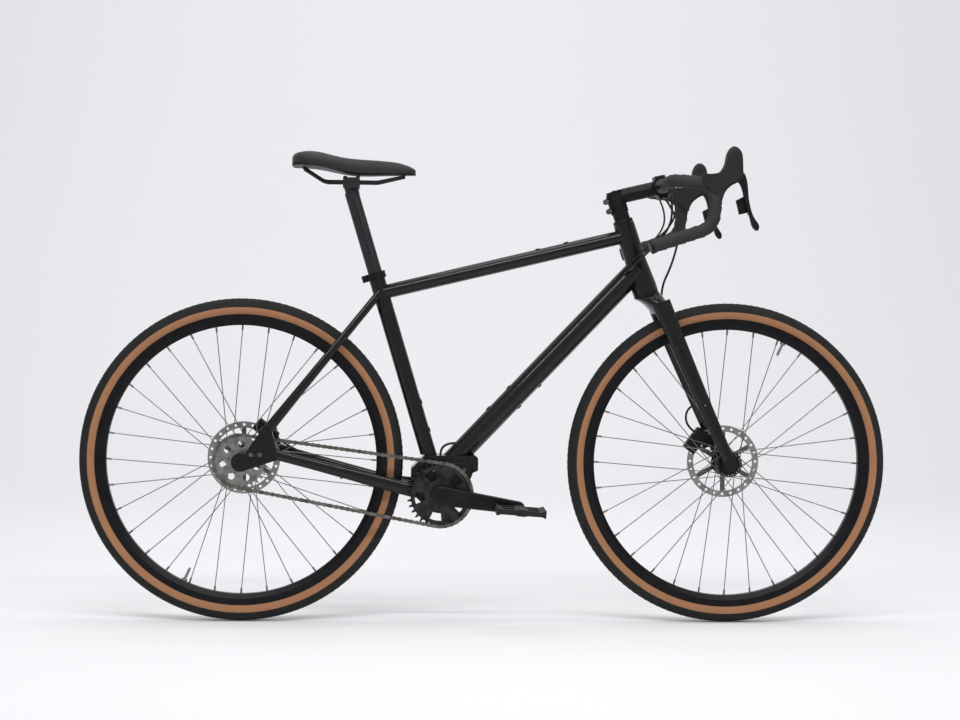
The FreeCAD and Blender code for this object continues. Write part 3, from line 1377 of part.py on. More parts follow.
def make_chain_stays():
    """Each stay stays narrow past the tyre and the cranks and then spreads to its dropout."""
    tyre_front = rear_axle.x + size("tyre_radius")
    crank_back = crank_axis.x - size("crank_length") - size("crank_eye_radius")
    high = size("chain_stay_height")
    low = size("chain_stay_end_height")
    stations = [
        (stay_root_x, size("chain_stay_root_side"), high),
        (tyre_front - 2 * size("chain_stay_width"), size("chain_stay_knee_side"), high),
        (crank_back - size("chain_stay_width"), size("chain_stay_bend_side"), (high + low) / 2),
        (stay_end_x, dropout_side, low),
    ]
    stays = []
    for side in (-1, 1):
        wires = [ellipse_wire(vec(x, side * out, chain_stay_level(x)), vec(0, 0, 1), tall,
                              size("chain_stay_width")) for x, out, tall in stations]
        stays.append(Part.makeLoft(wires, True))
    group("chain_stays", stays)


seat_stay_top = on_seat(size("seat_stay_joint"))
seat_stay_end = rear_axle + vec(size("seat_stay_end_ahead"), 0, size("seat_stay_end_above"))
seat_stay_along = (seat_stay_end - seat_stay_top).normalize()
seat_stay_over = vec(-seat_stay_along.z, 0, seat_stay_along.x)


def make_seat_stays():
    tyre_share = size("seat_stay_tyre_share")
    stations = [
        (0.0, size("seat_stay_root_side"), size("seat_stay_height")),
        (tyre_share, size("seat_stay_tyre_side"), size("seat_stay_height")),
        (1.0, dropout_side, size("seat_stay_end_height")),
    ]
    cutter = seat_tube_block(size("weld_gap"))
    stays = []
    for side in (-1, 1):
        wires = []
        for share, out, tall in stations:
            centre = seat_stay_top + (seat_stay_end - seat_stay_top) * share + vec(0, side * out, 0)
            wires.append(ellipse_wire(centre, seat_stay_over, tall, size("seat_stay_width")))
        stays.append(Part.makeLoft(wires, True).cut(cutter))
    middle = seat_stay_top + (seat_stay_end - seat_stay_top) * size("seat_stay_bridge_share")
    reach = size("seat_stay_tyre_side")
    bridge = cross_bar(middle, -reach, reach, size("seat_stay_bridge_radius"))
    pieces = bridge.cut(Part.makeCompound(stays)).Solids
    bridge = min(pieces, key=lambda piece: abs(piece.CenterOfMass.y))
    group("seat_stays", stays + [bridge])


def make_dropouts():
    """A thick plate from the two stays to the axle, with the slot that sets the chain's tension."""
    round_end = size("dropout_hood_radius")
    reach = size("dropout_reach") - size("weld_gap")
    stay_low = chain_stay_level(stay_end_x) - rear_axle.z
    half = size("chain_stay_end_height") / 2
    shift = seat_stay_along * size("weld_gap")
    front_corner = seat_stay_end - seat_stay_over * (-size("seat_stay_end_height") / 2) + shift
    back_corner = seat_stay_end + seat_stay_over * (-size("seat_stay_end_height") / 2) + shift
    front_corner -= rear_axle
    back_corner -= rear_axle
    diagonal = round_end * math.sin(math.radians(45))
    flat = [
        vec(reach, 0, stay_low - half),
        vec(reach, 0, stay_low + half),
        front_corner,
        back_corner,
        vec(diagonal, 0, diagonal + round_end / 3),
    ]
    last = vec(diagonal, 0, -diagonal - round_end / 3)
    edges = [Part.LineSegment(a, b).toShape() for a, b in zip(flat, flat[1:])]
    edges.append(Part.Arc(flat[-1], vec(-round_end, 0, 0), last).toShape())
    edges.append(Part.LineSegment(last, flat[0]).toShape())
    face = Part.Face(Part.Wire(edges))
    thickness = size("dropout_thickness")
    slot_start = vec(size("dropout_slot_ahead"), 0, stay_low)
    slot_long = size("dropout_slot_length")
    slot_half = size("dropout_slot_width") / 2
    plates = []
    for side in (-1, 1):
        inner = size("rear_hub_half") if side > 0 else -size("rear_hub_half") - thickness
        plate = face.extrude(vec(0, thickness, 0))
        plate = plate.cut(cross_bar(vec(0, 0, 0), 0, thickness,
                                    size("axle_radius") + size("dropout_axle_gap")))
        slot = fuse([
            cross_bar(slot_start, 0, thickness, slot_half),
            cross_bar(slot_start + vec(slot_long, 0, 0), 0, thickness, slot_half),
            Part.makeBox(slot_long, thickness, 2 * slot_half, slot_start - vec(0, 0, slot_half)),
        ])
        plate = plate.cut(slot)
        plate.translate(vec(rear_axle.x, inner, rear_axle.z))
        plates.append(plate)
    group("dropouts", plates)


make_chain_stays()
make_seat_stays()
make_dropouts()


# Bent rods, wires and hoses


def bent_path(points, bend):
    """Straight runs joined by tangent arcs of one radius."""
    edges = []
    start = points[0]
    for before, corner, after in zip(points, points[1:], points[2:]):
        into = (corner - before).normalize()
        out = (after - corner).normalize()
        turn = math.acos(max(-1.0, min(1.0, into.dot(out))))
        reach = bend * math.tan(turn / 2)
        first = corner - into * reach
        last = corner + out * reach
        inward = (out - into).normalize()
        middle = corner + inward * (bend / math.cos(turn / 2) - bend)
        edges.append(Part.LineSegment(start, first).toShape())
        edges.append(Part.Arc(first, middle, last).toShape())
        start = last
    edges.append(Part.LineSegment(start, points[-1]).toShape())
    return Part.Wire(edges)


def bent_rod(points, radius, bend):
    path = bent_path(points, bend)
    start = points[0]
    ring = Part.Wire(Part.Circle(start, points[1] - start, radius).toShape())
    return path.makePipeShell([ring], True, False)


def mirrored(shape):
    return shape.mirror(vec(0, 0, 0), vec(0, 1, 0))


# Seat

post_top = on_seat(size("post_top"))
rail_middle = vec(post_top.x, 0, size("rail_height"))


def make_seatpost():
    """The post, with the lower half of the rail clamp forged on its top."""
    start = on_seat(size("seat_tube_length") - size("post_insert"))
    outer = rod(start, post_top, size("post_radius"))
    bore = rod(start, post_top - seat_up * size("post_radius"), size("post_radius") - size("tube_wall"))
    long = size("rail_clamp_length")
    wide = 2 * (size("rail_half") + size("rail_cradle_lip"))
    split = size("rail_height") - size("rail_split") / 2
    low = split - size("rail_cradle_height")
    corner = vec(rail_middle.x - long / 2, -wide / 2, low)
    block = Part.makeBox(long, wide, size("rail_cradle_height"), corner)
    block = round_rims(block, size("rail_radius"), lambda edge: edge.BoundBox.ZMax < low + 0.01)
    neck_foot = Part.Circle(post_top - seat_up * size("post_radius"), seat_up, size("post_radius"))
    neck_top = Part.Circle(vec(rail_middle.x, 0, low + size("overlap")), vec(0, 0, 1), size("post_radius"))
    neck = Part.makeLoft([Part.Wire(neck_foot.toShape()), Part.Wire(neck_top.toShape())], True, True)
    head = fuse([outer.cut(bore), neck, block])
    feature("seatpost", head.cut(Part.makeCompound(rail_grooves())).cut(Part.makeCompound(clamp_holes())))


def rail_grooves():
    groove = size("rail_radius") + size("seat_gap")
    long = size("rail_clamp_length")
    grooves = []
    for side in (-1, 1):
        start = rail_middle + vec(-long, side * size("rail_half"), 0)
        grooves.append(rod(start, start + vec(2 * long, 0, 0), groove))
    return grooves


def clamp_spots():
    """The two bolts of the rail clamp, before and behind the post."""
    offset = size("rail_clamp_length") / 2 - size("bolt_head_radius")
    return [rail_middle + vec(way * offset, 0, 0) for way in (-1, 1)]


def clamp_holes():
    down = size("rail_cradle_height") + size("rail_split")
    up = size("rail_split") + size("rail_plate_height")
    radius = size("bolt_radius") + size("seat_gap")
    return [rod(spot - vec(0, 0, down), spot + vec(0, 0, up), radius) for spot in clamp_spots()]


def make_rail_clamp():
    """The upper plate of the clamp, and its two bolts."""
    long = size("rail_clamp_length")
    wide = 2 * (size("rail_half") + size("rail_plate_lip"))
    low = size("rail_height") + size("rail_split") / 2
    plate = Part.makeBox(long, wide, size("rail_plate_height"), vec(rail_middle.x - long / 2, -wide / 2, low))
    plate = plate.cut(Part.makeCompound(rail_grooves())).cut(Part.makeCompound(clamp_holes()))
    pieces = [plate]
    for spot in clamp_spots():
        seat = vec(spot.x, 0, low + size("rail_plate_height"))
        pieces.append(bolt(seat, vec(0, 0, 1), size("rail_plate_height") + size("rail_cradle_height")))
    group("rail_clamp", pieces)


def bolt(seat, out, length):
    """A cap head bolt with a round socket. Its head stands on seat and points along out."""
    gap = out * size("seat_gap")
    head_top = seat + out * size("bolt_head_length")
    shank = rod(seat - out * length, seat + gap, size("bolt_radius"))
    head = rod(seat + gap, head_top, size("bolt_head_radius"))
    socket = rod(seat + out * (size("bolt_head_length") / 2), head_top, size("bolt_socket_radius"))
    return fuse([shank, head]).cut(socket)


def make_seat_clamp():
    """A slit ring with two ears behind it, pulled together by one bolt."""
    top = size("seat_tube_length") - size("seat_gap")
    height = size("seat_clamp_height")
    start = on_seat(top - height)
    ring = Part.makeCylinder(size("seat_clamp_radius"), height, start, seat_up)
    ear = size("seat_clamp_ear")
    thick = size("bolt_head_radius") + size("seat_clamp_slit") / 2
    box = Part.makeBox(ear + size("seat_clamp_radius"), 2 * thick, height)
    box.translate(vec(-ear - size("seat_clamp_radius"), -thick, 0))
    box.Placement = place_along(start, seat_up).multiply(box.Placement)
    slit = Part.makeBox(2 * (ear + size("seat_clamp_radius")), size("seat_clamp_slit"), height)
    slit.translate(vec(-2 * (ear + size("seat_clamp_radius")), -size("seat_clamp_slit") / 2, 0))
    slit.Placement = place_along(start, seat_up).multiply(slit.Placement)
    bore = Part.makeCylinder(size("seat_tube_radius") + size("seat_gap"), height, start, seat_up)
    hole_spot = on_seat(top - height / 2, -size("seat_clamp_radius") - ear / 2)
    hole = cross_bar(hole_spot, -thick, thick, size("bolt_radius") + size("seat_gap"))
    clamp = fuse([ring, box]).cut(bore).cut(slit).cut(hole)
    screw = bolt(hole_spot + vec(0, thick, 0), vec(0, 1, 0), 2 * thick)
    group("seat_clamp", [clamp, screw])


def make_rails():
    """Two bent rods that run from the nose to the tail of the shell."""
    level = size("rail_height")
    half = size("rail_half")
    front = rail_middle.x + size("saddle_ahead") - size("saddle_rail_inset")
    back = rail_middle.x - size("saddle_behind") + size("saddle_rail_inset")
    under = size("rail_radius") + size("seat_gap")
    points = [
        vec(front, -size("rail_nose_half"), size("saddle_nose_low") - under),
        vec(rail_middle.x + size("rail_straight_half"), -half, level),
        vec(rail_middle.x - size("rail_straight_half"), -half, level),
        vec(back, -size("rail_tail_half"), size("saddle_tail_low") - under),
    ]
    rail = bent_rod(points, size("rail_radius"), size("rail_bend"))
    group("saddle_rails", [rail, mirrored(rail)])


# Sections from the tail to the nose: where along the saddle, share of its widest half width,
# share of the way from the tail's level to the waist's at the edge and at the crown,
# share of the way from the waist's level to the nose's, and share of the height that is kept.
SADDLE_SECTIONS = [
    (0.0, 0.50, 0.0, 0.0, 0.0, 0.65),
    (0.07, 0.88, 0.0, 0.0, 0.0, 1.0),
    (0.20, 1.0, 0.1, 0.3, 0.0, 1.0),
    (0.36, 0.74, 0.6, 0.85, 0.0, 1.0),
    (0.52, 0.44, 1.0, 1.0, 0.0, 1.0),
    (0.70, 0.30, 1.0, 1.0, 0.0, 1.0),
    (0.90, 0.25, 1.0, 1.0, 0.67, 1.0),
    (1.0, 0.14, 1.0, 1.0, 1.0, 0.65),
]


def between(first, last, share):
    return first + share * (last - first)


def saddle_wire(section, lift):
    """One crowned section: a flat bed, sides that are drawn in at the foot, and an arched top."""
    place, width, edge_share, crown_share, nose_share, kept = section
    x = rail_middle.x + between(-size("saddle_behind"), size("saddle_ahead"), place)
    half = width * size("saddle_half_width")
    low = between(size("saddle_tail_low"), size("saddle_waist_low"), edge_share)
    low += between(0, size("saddle_nose_low") - size("saddle_waist_low"), nose_share) + lift
    top = between(size("saddle_tail_top"), size("saddle_waist_top"), crown_share)
    top += between(0, size("saddle_nose_top") - size("saddle_waist_top"), nose_share)
    top = between(low, top, kept)
    foot = half * size("saddle_foot_share")
    shoulder = half * size("saddle_shoulder_share")
    high = between(low, top, size("saddle_side_share"))
    middle = (low + high) / 2
    left = [vec(x, -foot, low), vec(x, -half, middle), vec(x, -shoulder, high)]
    right = [vec(x, -point.y, point.z) for point in left]
    edges = [
        Part.LineSegment(right[0], left[0]).toShape(),
        Part.Arc(*left).toShape(),
        Part.Arc(left[2], vec(x, 0, top), right[2]).toShape(),
        Part.Arc(right[2], right[1], right[0]).toShape(),
    ]
    return Part.Wire(edges)


def make_saddle():
    shell = size("saddle_shell_thickness")
    pad_wires = [saddle_wire(section, shell + size("seat_gap")) for section in SADDLE_SECTIONS]
    feature("saddle_pad", Part.makeLoft(pad_wires, True))
    plates = []
    for section in SADDLE_SECTIONS:
        line = saddle_wire(section, 0.0).Edges[0]
        ends = [vertex.Point for vertex in line.Vertexes]
        up = vec(0, 0, shell)
        corners = [ends[0], ends[1], ends[1] + up, ends[0] + up, ends[0]]
        plates.append(Part.makePolygon(corners))
    feature("saddle_shell", Part.makeLoft(plates, True))


make_seatpost()
make_rail_clamp()
make_seat_clamp()
make_rails()
make_saddle()

# Fork and headset

stem_low = (head_tube_top + size("side_gap") + size("headset_cover_height")
            + size("spacer_count") * size("spacer_height") + size("seat_gap"))
stem_top = stem_low + size("stem_clamp_height")


def steer_cylinder(low, top, radius):
    return Part.makeCylinder(radius, top - low, on_steer(low), steer_up)


def steer_ring(low, top, radius, bore):
    return steer_cylinder(low, top, radius).cut(steer_cylinder(low, top, bore))


def steer_ellipse(height, ahead, side, depth, width):
    """An ellipse square to the steering axis."""
    return ellipse_wire(on_steer(height, ahead, side), steer_front, depth, width)


def fork_leg(side, extra):
    """One tapered leg, grown all round by an extra distance."""
    low = size("crown_height") - size("crown_drop")
    middle = size("leg_middle_share")
    top_share = 1 - middle
    grow = 2 * extra
    sections = [
        (low + size("crown_drop") / 2, size("leg_ahead"), size("leg_top_side"),
         size("leg_top_depth"), size("leg_top_width")),
        (low / 2, (size("leg_ahead") + size("fork_rake")) / 2,
         size("leg_top_side") * top_share + size("leg_bottom_side") * middle,
         size("leg_top_depth") * top_share + size("leg_bottom_depth") * middle,
         size("leg_top_width") * top_share + size("leg_bottom_width") * middle),
        (size("fork_end_radius") / 2, size("fork_rake"), size("leg_bottom_side"),
         size("leg_bottom_depth"), size("leg_bottom_width")),
    ]
    wires = [steer_ellipse(height, ahead, side * across, depth + grow, width + grow)
             for height, ahead, across, depth, width in sections]
    return Part.makeLoft(wires, True)


def make_fork():
    """Steerer, crown and two tapered legs, moulded as one hollow piece, with metal ends."""
    crown = size("crown_height")
    low = crown - size("crown_drop")
    taper = size("steerer_taper")
    steerer_end = stem_top - size("steerer_wall")
    cone_start = crown + size("lower_stack") + 2 * size("headset_bearing_height")
    steerer = fuse([
        steer_cylinder(crown - size("overlap"), cone_start, size("steerer_low_radius")),
        Part.makeCone(size("steerer_low_radius"), size("steerer_radius"), taper,
                      on_steer(cone_start), steer_up),
        steer_cylinder(cone_start + taper, steerer_end, size("steerer_radius")),
    ])
    bore = steer_cylinder(crown - size("steerer_wall"), steerer_end,
                          size("steerer_radius") - size("steerer_wall"))
    shoulder = Part.makeLoft([
        steer_ellipse(crown, 0, 0, 2 * size("crown_radius"),
                      2 * size("crown_radius") + size("ellipse_least")),
        steer_ellipse(crown - size("crown_drop") / 3, size("leg_ahead") / 2, 0,
                      size("crown_depth"), size("crown_width")),
        steer_ellipse(low, size("leg_ahead"), 0, size("leg_top_depth"), size("crown_foot_width")),
    ], True)
    legs = []
    for side in (-1, 1):
        leg = fork_leg(side, 0.0)
        inner = size("front_hub_half")
        outer = inner + size("leg_bottom_width")
        tip = cross_bar(front_axle, min(side * inner, side * outer), max(side * inner, side * outer),
                        size("fork_end_radius"))
        legs.append(leg)
        legs.append(tip)
    wheel_room = cross_bar(front_axle, -size("front_hub_half"), size("front_hub_half"),
                           2 * size("fork_end_radius"))
    body = fuse([shoulder, steerer] + legs).cut(bore).cut(wheel_room)
    axle_hole = cross_bar(front_axle, -size("rear_hub_half"), size("rear_hub_half"),
                          size("axle_radius") + size("dropout_axle_gap"))
    holes = []
    for side in (-1, 1):
        for count in range(3):
            height = size("fork_boss_height") + count * size("boss_spacing")
            ahead = size("fork_rake") - (size("fork_rake") - size("leg_ahead")) * height / low
            spot = on_steer(height, ahead, side * size("rear_hub_half"))
            holes.append(rod(spot, spot - vec(0, side * (size("rear_hub_half") - size("leg_top_side")), 0),
                             size("boss_hole_radius")))
    feature("fork", body.cut(axle_hole).cut(Part.makeCompound(holes)))


def outer_rim_at(level):
    """Tells the outer rim of the headset cover, at a height on the steering axis, from its other edges."""
    middle = on_steer(level)

    def test(edge):
        spot = edge.Vertexes[0].Point - middle
        return abs(spot.dot(steer_up)) < size("overlap") and spot.Length > size("spacer_radius")

    return test


def make_headset():
    gap = size("running_gap")
    tall = size("headset_bearing_height")
    lower = steer_ring(head_tube_low + size("seat_gap"), head_tube_low + tall, size("headset_low_radius"),
                       size("steerer_low_radius") + gap)
    upper = steer_ring(head_tube_top - tall, head_tube_top - size("seat_gap"), size("headset_top_radius"),
                       size("steerer_radius") + gap)
    group("headset_bearings", [lower, upper])

    seat = size("seat_gap")
    bore = size("steerer_radius") + seat
    level = head_tube_top + size("side_gap") / 2
    pieces = [steer_ring(size("crown_height") + seat, head_tube_low - size("side_gap") / 2,
                         size("crown_radius"), size("steerer_low_radius") + seat)]
    cover = steer_ring(level, level + size("headset_cover_height"), size("headset_cover_radius"), bore)
    level += size("headset_cover_height")
    pieces.append(round_rims(cover, size("headset_cover_round"), outer_rim_at(level)))
    for _ in range(int(size("spacer_count"))):
        foot = level + seat / 2
        level += size("spacer_height")
        pieces.append(steer_ring(foot, level, size("spacer_radius"), bore))
    cap = steer_cylinder(stem_top + seat, stem_top + size("top_cap_height"), size("top_cap_radius"))
    cap = cap.cut(steer_cylinder(stem_top + size("top_cap_height") / 2, stem_top + size("top_cap_height"),
                                 size("bolt_head_radius") + seat))
    cap = cap.cut(steer_cylinder(stem_top, stem_top + size("top_cap_height"), size("bolt_radius") + seat))
    pieces.append(cap)
    group("headset_stack", pieces)


make_fork()
make_headset()

# Stem, bar and tape

bar_middle = vec(front_axle.x - size("bar_behind_axle"), 0, size("bar_height"))
stem_root = on_steer(stem_top - size("stem_rise"))
stem_along = (bar_middle - stem_root).normalize()
stem_over = vec(-stem_along.z, 0, stem_along.x)


def stem_box(start, end, high, half_width):
    """A box square to the stem, between two distances from the bar's middle."""
    box = Part.makeBox(end - start, 2 * half_width, 2 * high, vec(start, -half_width, -high))
    turn = FreeCAD.Rotation(vec(0, 1, 0), -math.degrees(math.atan2(stem_along.z, stem_along.x)))
    box.Placement = FreeCAD.Placement(bar_middle, turn).multiply(box.Placement)
    return box


def faceplate_bolt_spots(ahead):
    """Four bolts round the bar, at a distance ahead of its middle."""
    spots = []
    for up in (-1, 1):
        for side in (-1, 1):
            spots.append(bar_middle + stem_along * ahead + stem_over * (up * size("faceplate_bolt_height"))
                         + vec(0, side * size("faceplate_bolt_side"), 0))
    return spots


def make_stem():
    seat = size("seat_gap")
    half = size("faceplate_half")
    clamp = steer_cylinder(stem_low, stem_top, size("stem_clamp_radius"))
    neck = rod(stem_root, bar_middle, size("stem_radius"))
    barrel = cross_bar(bar_middle, -half, half, size("faceplate_radius"))
    ear = size("faceplate_bolt_height") + size("bolt_head_radius")
    lug = size("faceplate_lug")
    far = 4 * size("faceplate_radius")
    past = size("overlap")
    steer_bore = steer_cylinder(stem_low - past, stem_top + past, size("steerer_radius") + seat)
    bar_bore = cross_bar(bar_middle, -half, half, size("bar_clamp_radius") + seat)
    split = size("faceplate_gap") / 2
    back_lug = stem_box(-split - lug, -split, ear, half)
    holes = [rod(spot, spot + stem_along * far, size("bolt_radius") + seat)
             for spot in faceplate_bolt_spots(-far / 2)]
    stem = fuse([clamp, neck, barrel, back_lug]).cut(steer_bore).cut(bar_bore)
    stem = stem.cut(stem_box(-split, far, far, far)).cut(Part.makeCompound(holes))
    slit = Part.makeBox(far, size("seat_clamp_slit"), far, vec(-far, -size("seat_clamp_slit") / 2, -far / 2))
    slit.Placement = place_along(on_steer((stem_low + stem_top) / 2), steer_up).multiply(slit.Placement)
    bolts = []
    inset = size("stem_bolt_inset")
    ears = []
    ear_holes = []
    for height in (stem_low + inset, stem_top - inset):
        spot = on_steer(height, -size("stem_clamp_radius") - size("bolt_radius"))
        reach = size("stem_ear_half")
        ears.append(cross_bar(spot, -reach, reach, size("stem_ear_radius")))
        ear_holes.append(cross_bar(spot, -reach, reach, size("bolt_radius") + seat))
        bolts.append(bolt(spot + vec(0, -reach, 0), vec(0, -1, 0), 2 * reach - past))
    cap_room = steer_cylinder(stem_top, stem_top + far, size("stem_clamp_radius"))
    stem = fuse([stem] + ears).cut(steer_bore).cut(Part.makeCompound(ear_holes)).cut(slit).cut(cap_room)
    feature("stem", stem)

    front_lug = stem_box(split, split + lug, ear, half)
    plate = fuse([cross_bar(bar_middle, -half, half, size("faceplate_radius")), front_lug])
    plate = plate.cut(bar_bore).cut(stem_box(-far, split, far, far)).cut(Part.makeCompound(holes))
    window = stem_box(0, far, size("bar_clamp_radius") / 2, half / 2)
    head_rooms = []
    for spot in faceplate_bolt_spots(split + lug):
        bolts.append(bolt(spot, stem_along, 2 * (split + lug) - past))
        head_rooms.append(rod(spot, spot + stem_along * far, size("bolt_head_radius") + seat))
    feature("stem_faceplate", plate.cut(window).cut(Part.makeCompound(head_rooms)))
    cap_seat = on_steer(stem_top + size("top_cap_height") / 2)
    bolts.append(bolt(cap_seat, steer_up, size("top_cap_height") / 2))
    group("stem_bolts", bolts)


def bar_route(side):
    """The bar's middle line from the stem to one end: along, forward, down the hook and back."""
    corner = bar_middle + vec(0, side * (size("hood_side") - size("bar_radius")), size("bar_corner_rise"))
    hook = bar_middle + vec(size("bar_reach"), side * size("hood_side"), -size("bar_hook_drop"))
    low_hook = hook + vec(-size("bar_hook_back"), side * size("bar_flare"), -size("bar_hook_height"))
    end = bar_middle + vec(-size("bar_end_behind"), side * size("bar_end_side"), -size("bar_drop"))
    return [corner, hook, low_hook, end]


def on_bar(side, across):
    """The point of the bar's middle line that lies this far from the middle, short of its corner."""
    taper_end = bar_middle + vec(0, side * (size("bar_clamp_half") + size("bar_taper")), 0)
    run = bar_route(side)[0] - taper_end
    return taper_end + run * ((side * across - taper_end.y) / run.y)


def bar_rod(side, start, radius):
    """A rod from a point on the bar's middle line to the bar's end."""
    return bent_rod([start] + bar_route(side), radius, size("bar_corner_radius"))


def make_bar():
    thick = size("bar_clamp_half")
    taper_end = thick + size("bar_taper")
    outer = [cross_bar(bar_middle, -thick, thick, size("bar_clamp_radius"))]
    inner = [cross_bar(bar_middle, -taper_end, taper_end, size("bar_radius") - size("bar_wall"))]
    plugs = []
    for side in (-1, 1):
        way = vec(0, side, 0)
        outer.append(Part.makeCone(size("bar_clamp_radius"), size("bar_radius"), size("bar_taper"),
                                   bar_middle + way * thick, way))
        outer.append(bar_rod(side, bar_middle + way * taper_end, size("bar_radius")))
        inner_start = bar_middle + way * (taper_end - size("overlap"))
        inner.append(bar_rod(side, inner_start, size("bar_radius") - size("bar_wall")))
        route = bar_route(side)
        along = (route[-1] - route[-2]).normalize()
        seat = route[-1] + along * size("seat_gap")
        stub = rod(route[-1] - along * (3 * size("plug_length")), seat,
                   size("bar_radius") - size("bar_wall") - size("seat_gap"))
        disc = rod(seat, seat + along * size("plug_length"), size("tape_radius"))
        far = seat + along * size("plug_length")
        disc = round_rims(disc, size("plug_length") / 2, lambda edge: edge.CenterOfMass.isEqual(far, 0.01))
        plugs.append(fuse([stub, disc]))
    bar = fuse(outer)
    for hollow in inner:
        bar = bar.cut(hollow)
    group("handlebar", [bar] + plugs)


make_stem()
make_bar()


# Bar tape, hoods, levers and paddles
# Outlines are side views, ahead of and above the middle of the bar clamp.

HOOD_OUTLINE = [
    (46, 22), (72, 21), (96, 25), (106, 49), (110, 64), (122, 73), (135, 66), (141, 45), (142, 22),
    (140, 4), (127, -5), (112, -14), (100, -32), (92, -53), (56, -59), (44, -20),
]
# Shares of the half width, from the middle outwards, and of the outline that is left there.
HOOD_HALF_SECTIONS = [(0.0, 1.0), (0.5, 0.97), (0.8, 0.91), (0.94, 0.83), (1.0, 0.76)]
HOOD_SECTIONS = [(-share, scale) for share, scale in HOOD_HALF_SECTIONS[:0:-1]] + HOOD_HALF_SECTIONS
LEVER_OUTLINE = [
    (128, 21), (140, 20), (149, 3), (153, -30), (158, -56), (168, -79), (176, -97), (173, -102),
    (165, -98), (158, -81), (150, -56), (143, -30), (134, -5), (124, 8),
]
LEVER_PIVOT = (130, 17)
PADDLE_HINGE = [(146, -27), (156, -67)]


def beside_bar(point, across):
    """A point of a side view, at a distance from the middle of the bike."""
    return bar_middle + vec(point[0], across, point[1])


def side_spline(outline_points, across, share):
    """A closed smooth outline, drawn in towards its middle by a share."""
    middle_x = sum(point[0] for point in outline_points) / len(outline_points)
    middle_z = sum(point[1] for point in outline_points) / len(outline_points)
    spots = []
    for x, z in outline_points:
        drawn_in = (middle_x + (x - middle_x) * share, middle_z + (z - middle_z) * share)
        spots.append(beside_bar(drawn_in, across))
    curve = Part.BSplineCurve()
    curve.interpolate(spots, PeriodicFlag=True)
    return Part.Wire(curve.toShape())


def make_tape():
    pieces = []
    far = size("bar_reach") + size("bar_drop")
    for side in (-1, 1):
        sleeve = bar_rod(side, on_bar(side, size("tape_start")), size("tape_radius"))
        bore_start = on_bar(side, size("tape_start") - size("overlap"))
        sleeve = sleeve.cut(bar_rod(side, bore_start, size("bar_radius") + size("tape_gap")))
        room = Part.makeBox(far, 2 * far, far,
                            bar_middle + vec(size("hood_back") - size("tape_gap"),
                                             side * size("hood_side") - far,
                                             -size("hood_foot") - size("tape_gap")))
        pieces.extend(sleeve.cut(room).Solids)
    group("bar_tape", pieces)


def make_hood(side, name):
    """A rubber covered lever body, with a slot and a pin for the brake lever."""
    across = side * size("hood_side")
    half = size("hood_half")
    wires = [side_spline(HOOD_OUTLINE, across + share * half, scale) for share, scale in HOOD_SECTIONS]
    body = Part.makeLoft(wires, True, True)
    far = size("bar_reach") + size("bar_drop")
    back_corner = bar_middle + vec(size("hood_back") - far, across - far, -far)
    foot_corner = bar_middle + vec(-far, across - far, -size("hood_foot") - far)
    behind = Part.makeBox(far, 2 * far, 2 * far, back_corner)
    under = Part.makeBox(2 * far, 2 * far, far, foot_corner)
    slot_half = size("lever_slot_half")
    pivot = beside_bar(LEVER_PIVOT, across)
    slot_back = 2 * size("lever_eye_radius") - size("lever_pin_radius")
    slot_top = size("lever_eye_radius") + size("lever_pin_radius")
    slot = Part.makeBox(far, 2 * slot_half, far,
                        vec(pivot.x - slot_back, across - slot_half, pivot.z + slot_top - far))
    body = body.cut(behind).cut(under).cut(slot)
    body = body.cut(bar_rod(side, on_bar(side, size("tape_start")), size("bar_radius") + size("seat_gap")))
    body = max(body.Solids, key=lambda solid: solid.Volume)
    pin_half = slot_half + size("lever_pin_radius")
    pin = cross_bar(vec(pivot.x, 0, pivot.z), across - pin_half, across + pin_half, size("lever_pin_radius"))
    feature(name, fuse([body, pin]))


def make_lever(side, name):
    """The brake lever, with two ears and a pin for the paddle on its inner side."""
    across = side * size("hood_side")
    half = size("lever_half")
    face = Part.Face(side_spline(LEVER_OUTLINE, across - half, 1.0))
    blade = face.extrude(vec(0, 2 * half, 0))
    blade = round_rims(blade, size("lever_edge"), flat_in_y)
    pivot = beside_bar(LEVER_PIVOT, 0)
    eye = cross_bar(pivot, across - half, across + half, size("lever_eye_radius"))
    bore_radius = size("lever_pin_radius") + size("running_gap")
    bore = cross_bar(pivot, across - 2 * half, across + 2 * half, bore_radius)
    lever = fuse([blade, eye]).cut(bore)
    hinge = across - side * size("paddle_side")
    outer = hinge - side * size("paddle_lug_radius")
    ears = []
    for point in PADDLE_HINGE:
        ears.append(cross_bar(beside_bar(point, 0), min(across, outer), max(across, outer),
                              size("paddle_lug_radius")))
    pin_ends = [beside_bar(point, hinge) for point in PADDLE_HINGE]
    pin = rod(*pin_ends, size("paddle_pin_radius"))
    feature(name, fuse([lever, pin] + ears))


def make_paddle(side, name):
    """The shift paddle: a knuckle on the pin and a thin blade behind the brake lever."""
    hinge = side * (size("hood_side") - size("paddle_side"))
    top = beside_bar(PADDLE_HINGE[0], hinge)
    bottom = beside_bar(PADDLE_HINGE[1], hinge)
    along = (bottom - top).normalize()
    back = vec(along.z, 0, -along.x)
    start = top + along * size("paddle_end_gap")
    end = bottom - along * size("paddle_end_gap")
    knuckle = rod(start, end, size("paddle_knuckle_radius"))
    bore = rod(top, bottom, size("paddle_pin_radius") + size("running_gap"))
    width = size("paddle_width")
    thick = vec(0, size("paddle_thickness"), 0)
    low = thick / -2
    slant = along * (width / 4)
    corners = [start, start + back * width + slant, end + back * width, end]
    face = Part.Face(Part.makePolygon([corner + low for corner in corners + corners[:1]]))
    plate = face.extrude(thick)
    feature(name, fuse([knuckle, plate]).cut(bore))


make_tape()
for lever_side, lever_word in ((-1, "right"), (1, "left")):
    make_hood(lever_side, f"hood_{lever_word}")
    make_lever(lever_side, f"brake_lever_{lever_word}")
    make_paddle(lever_side, f"shift_paddle_{lever_word}")

# Brakes


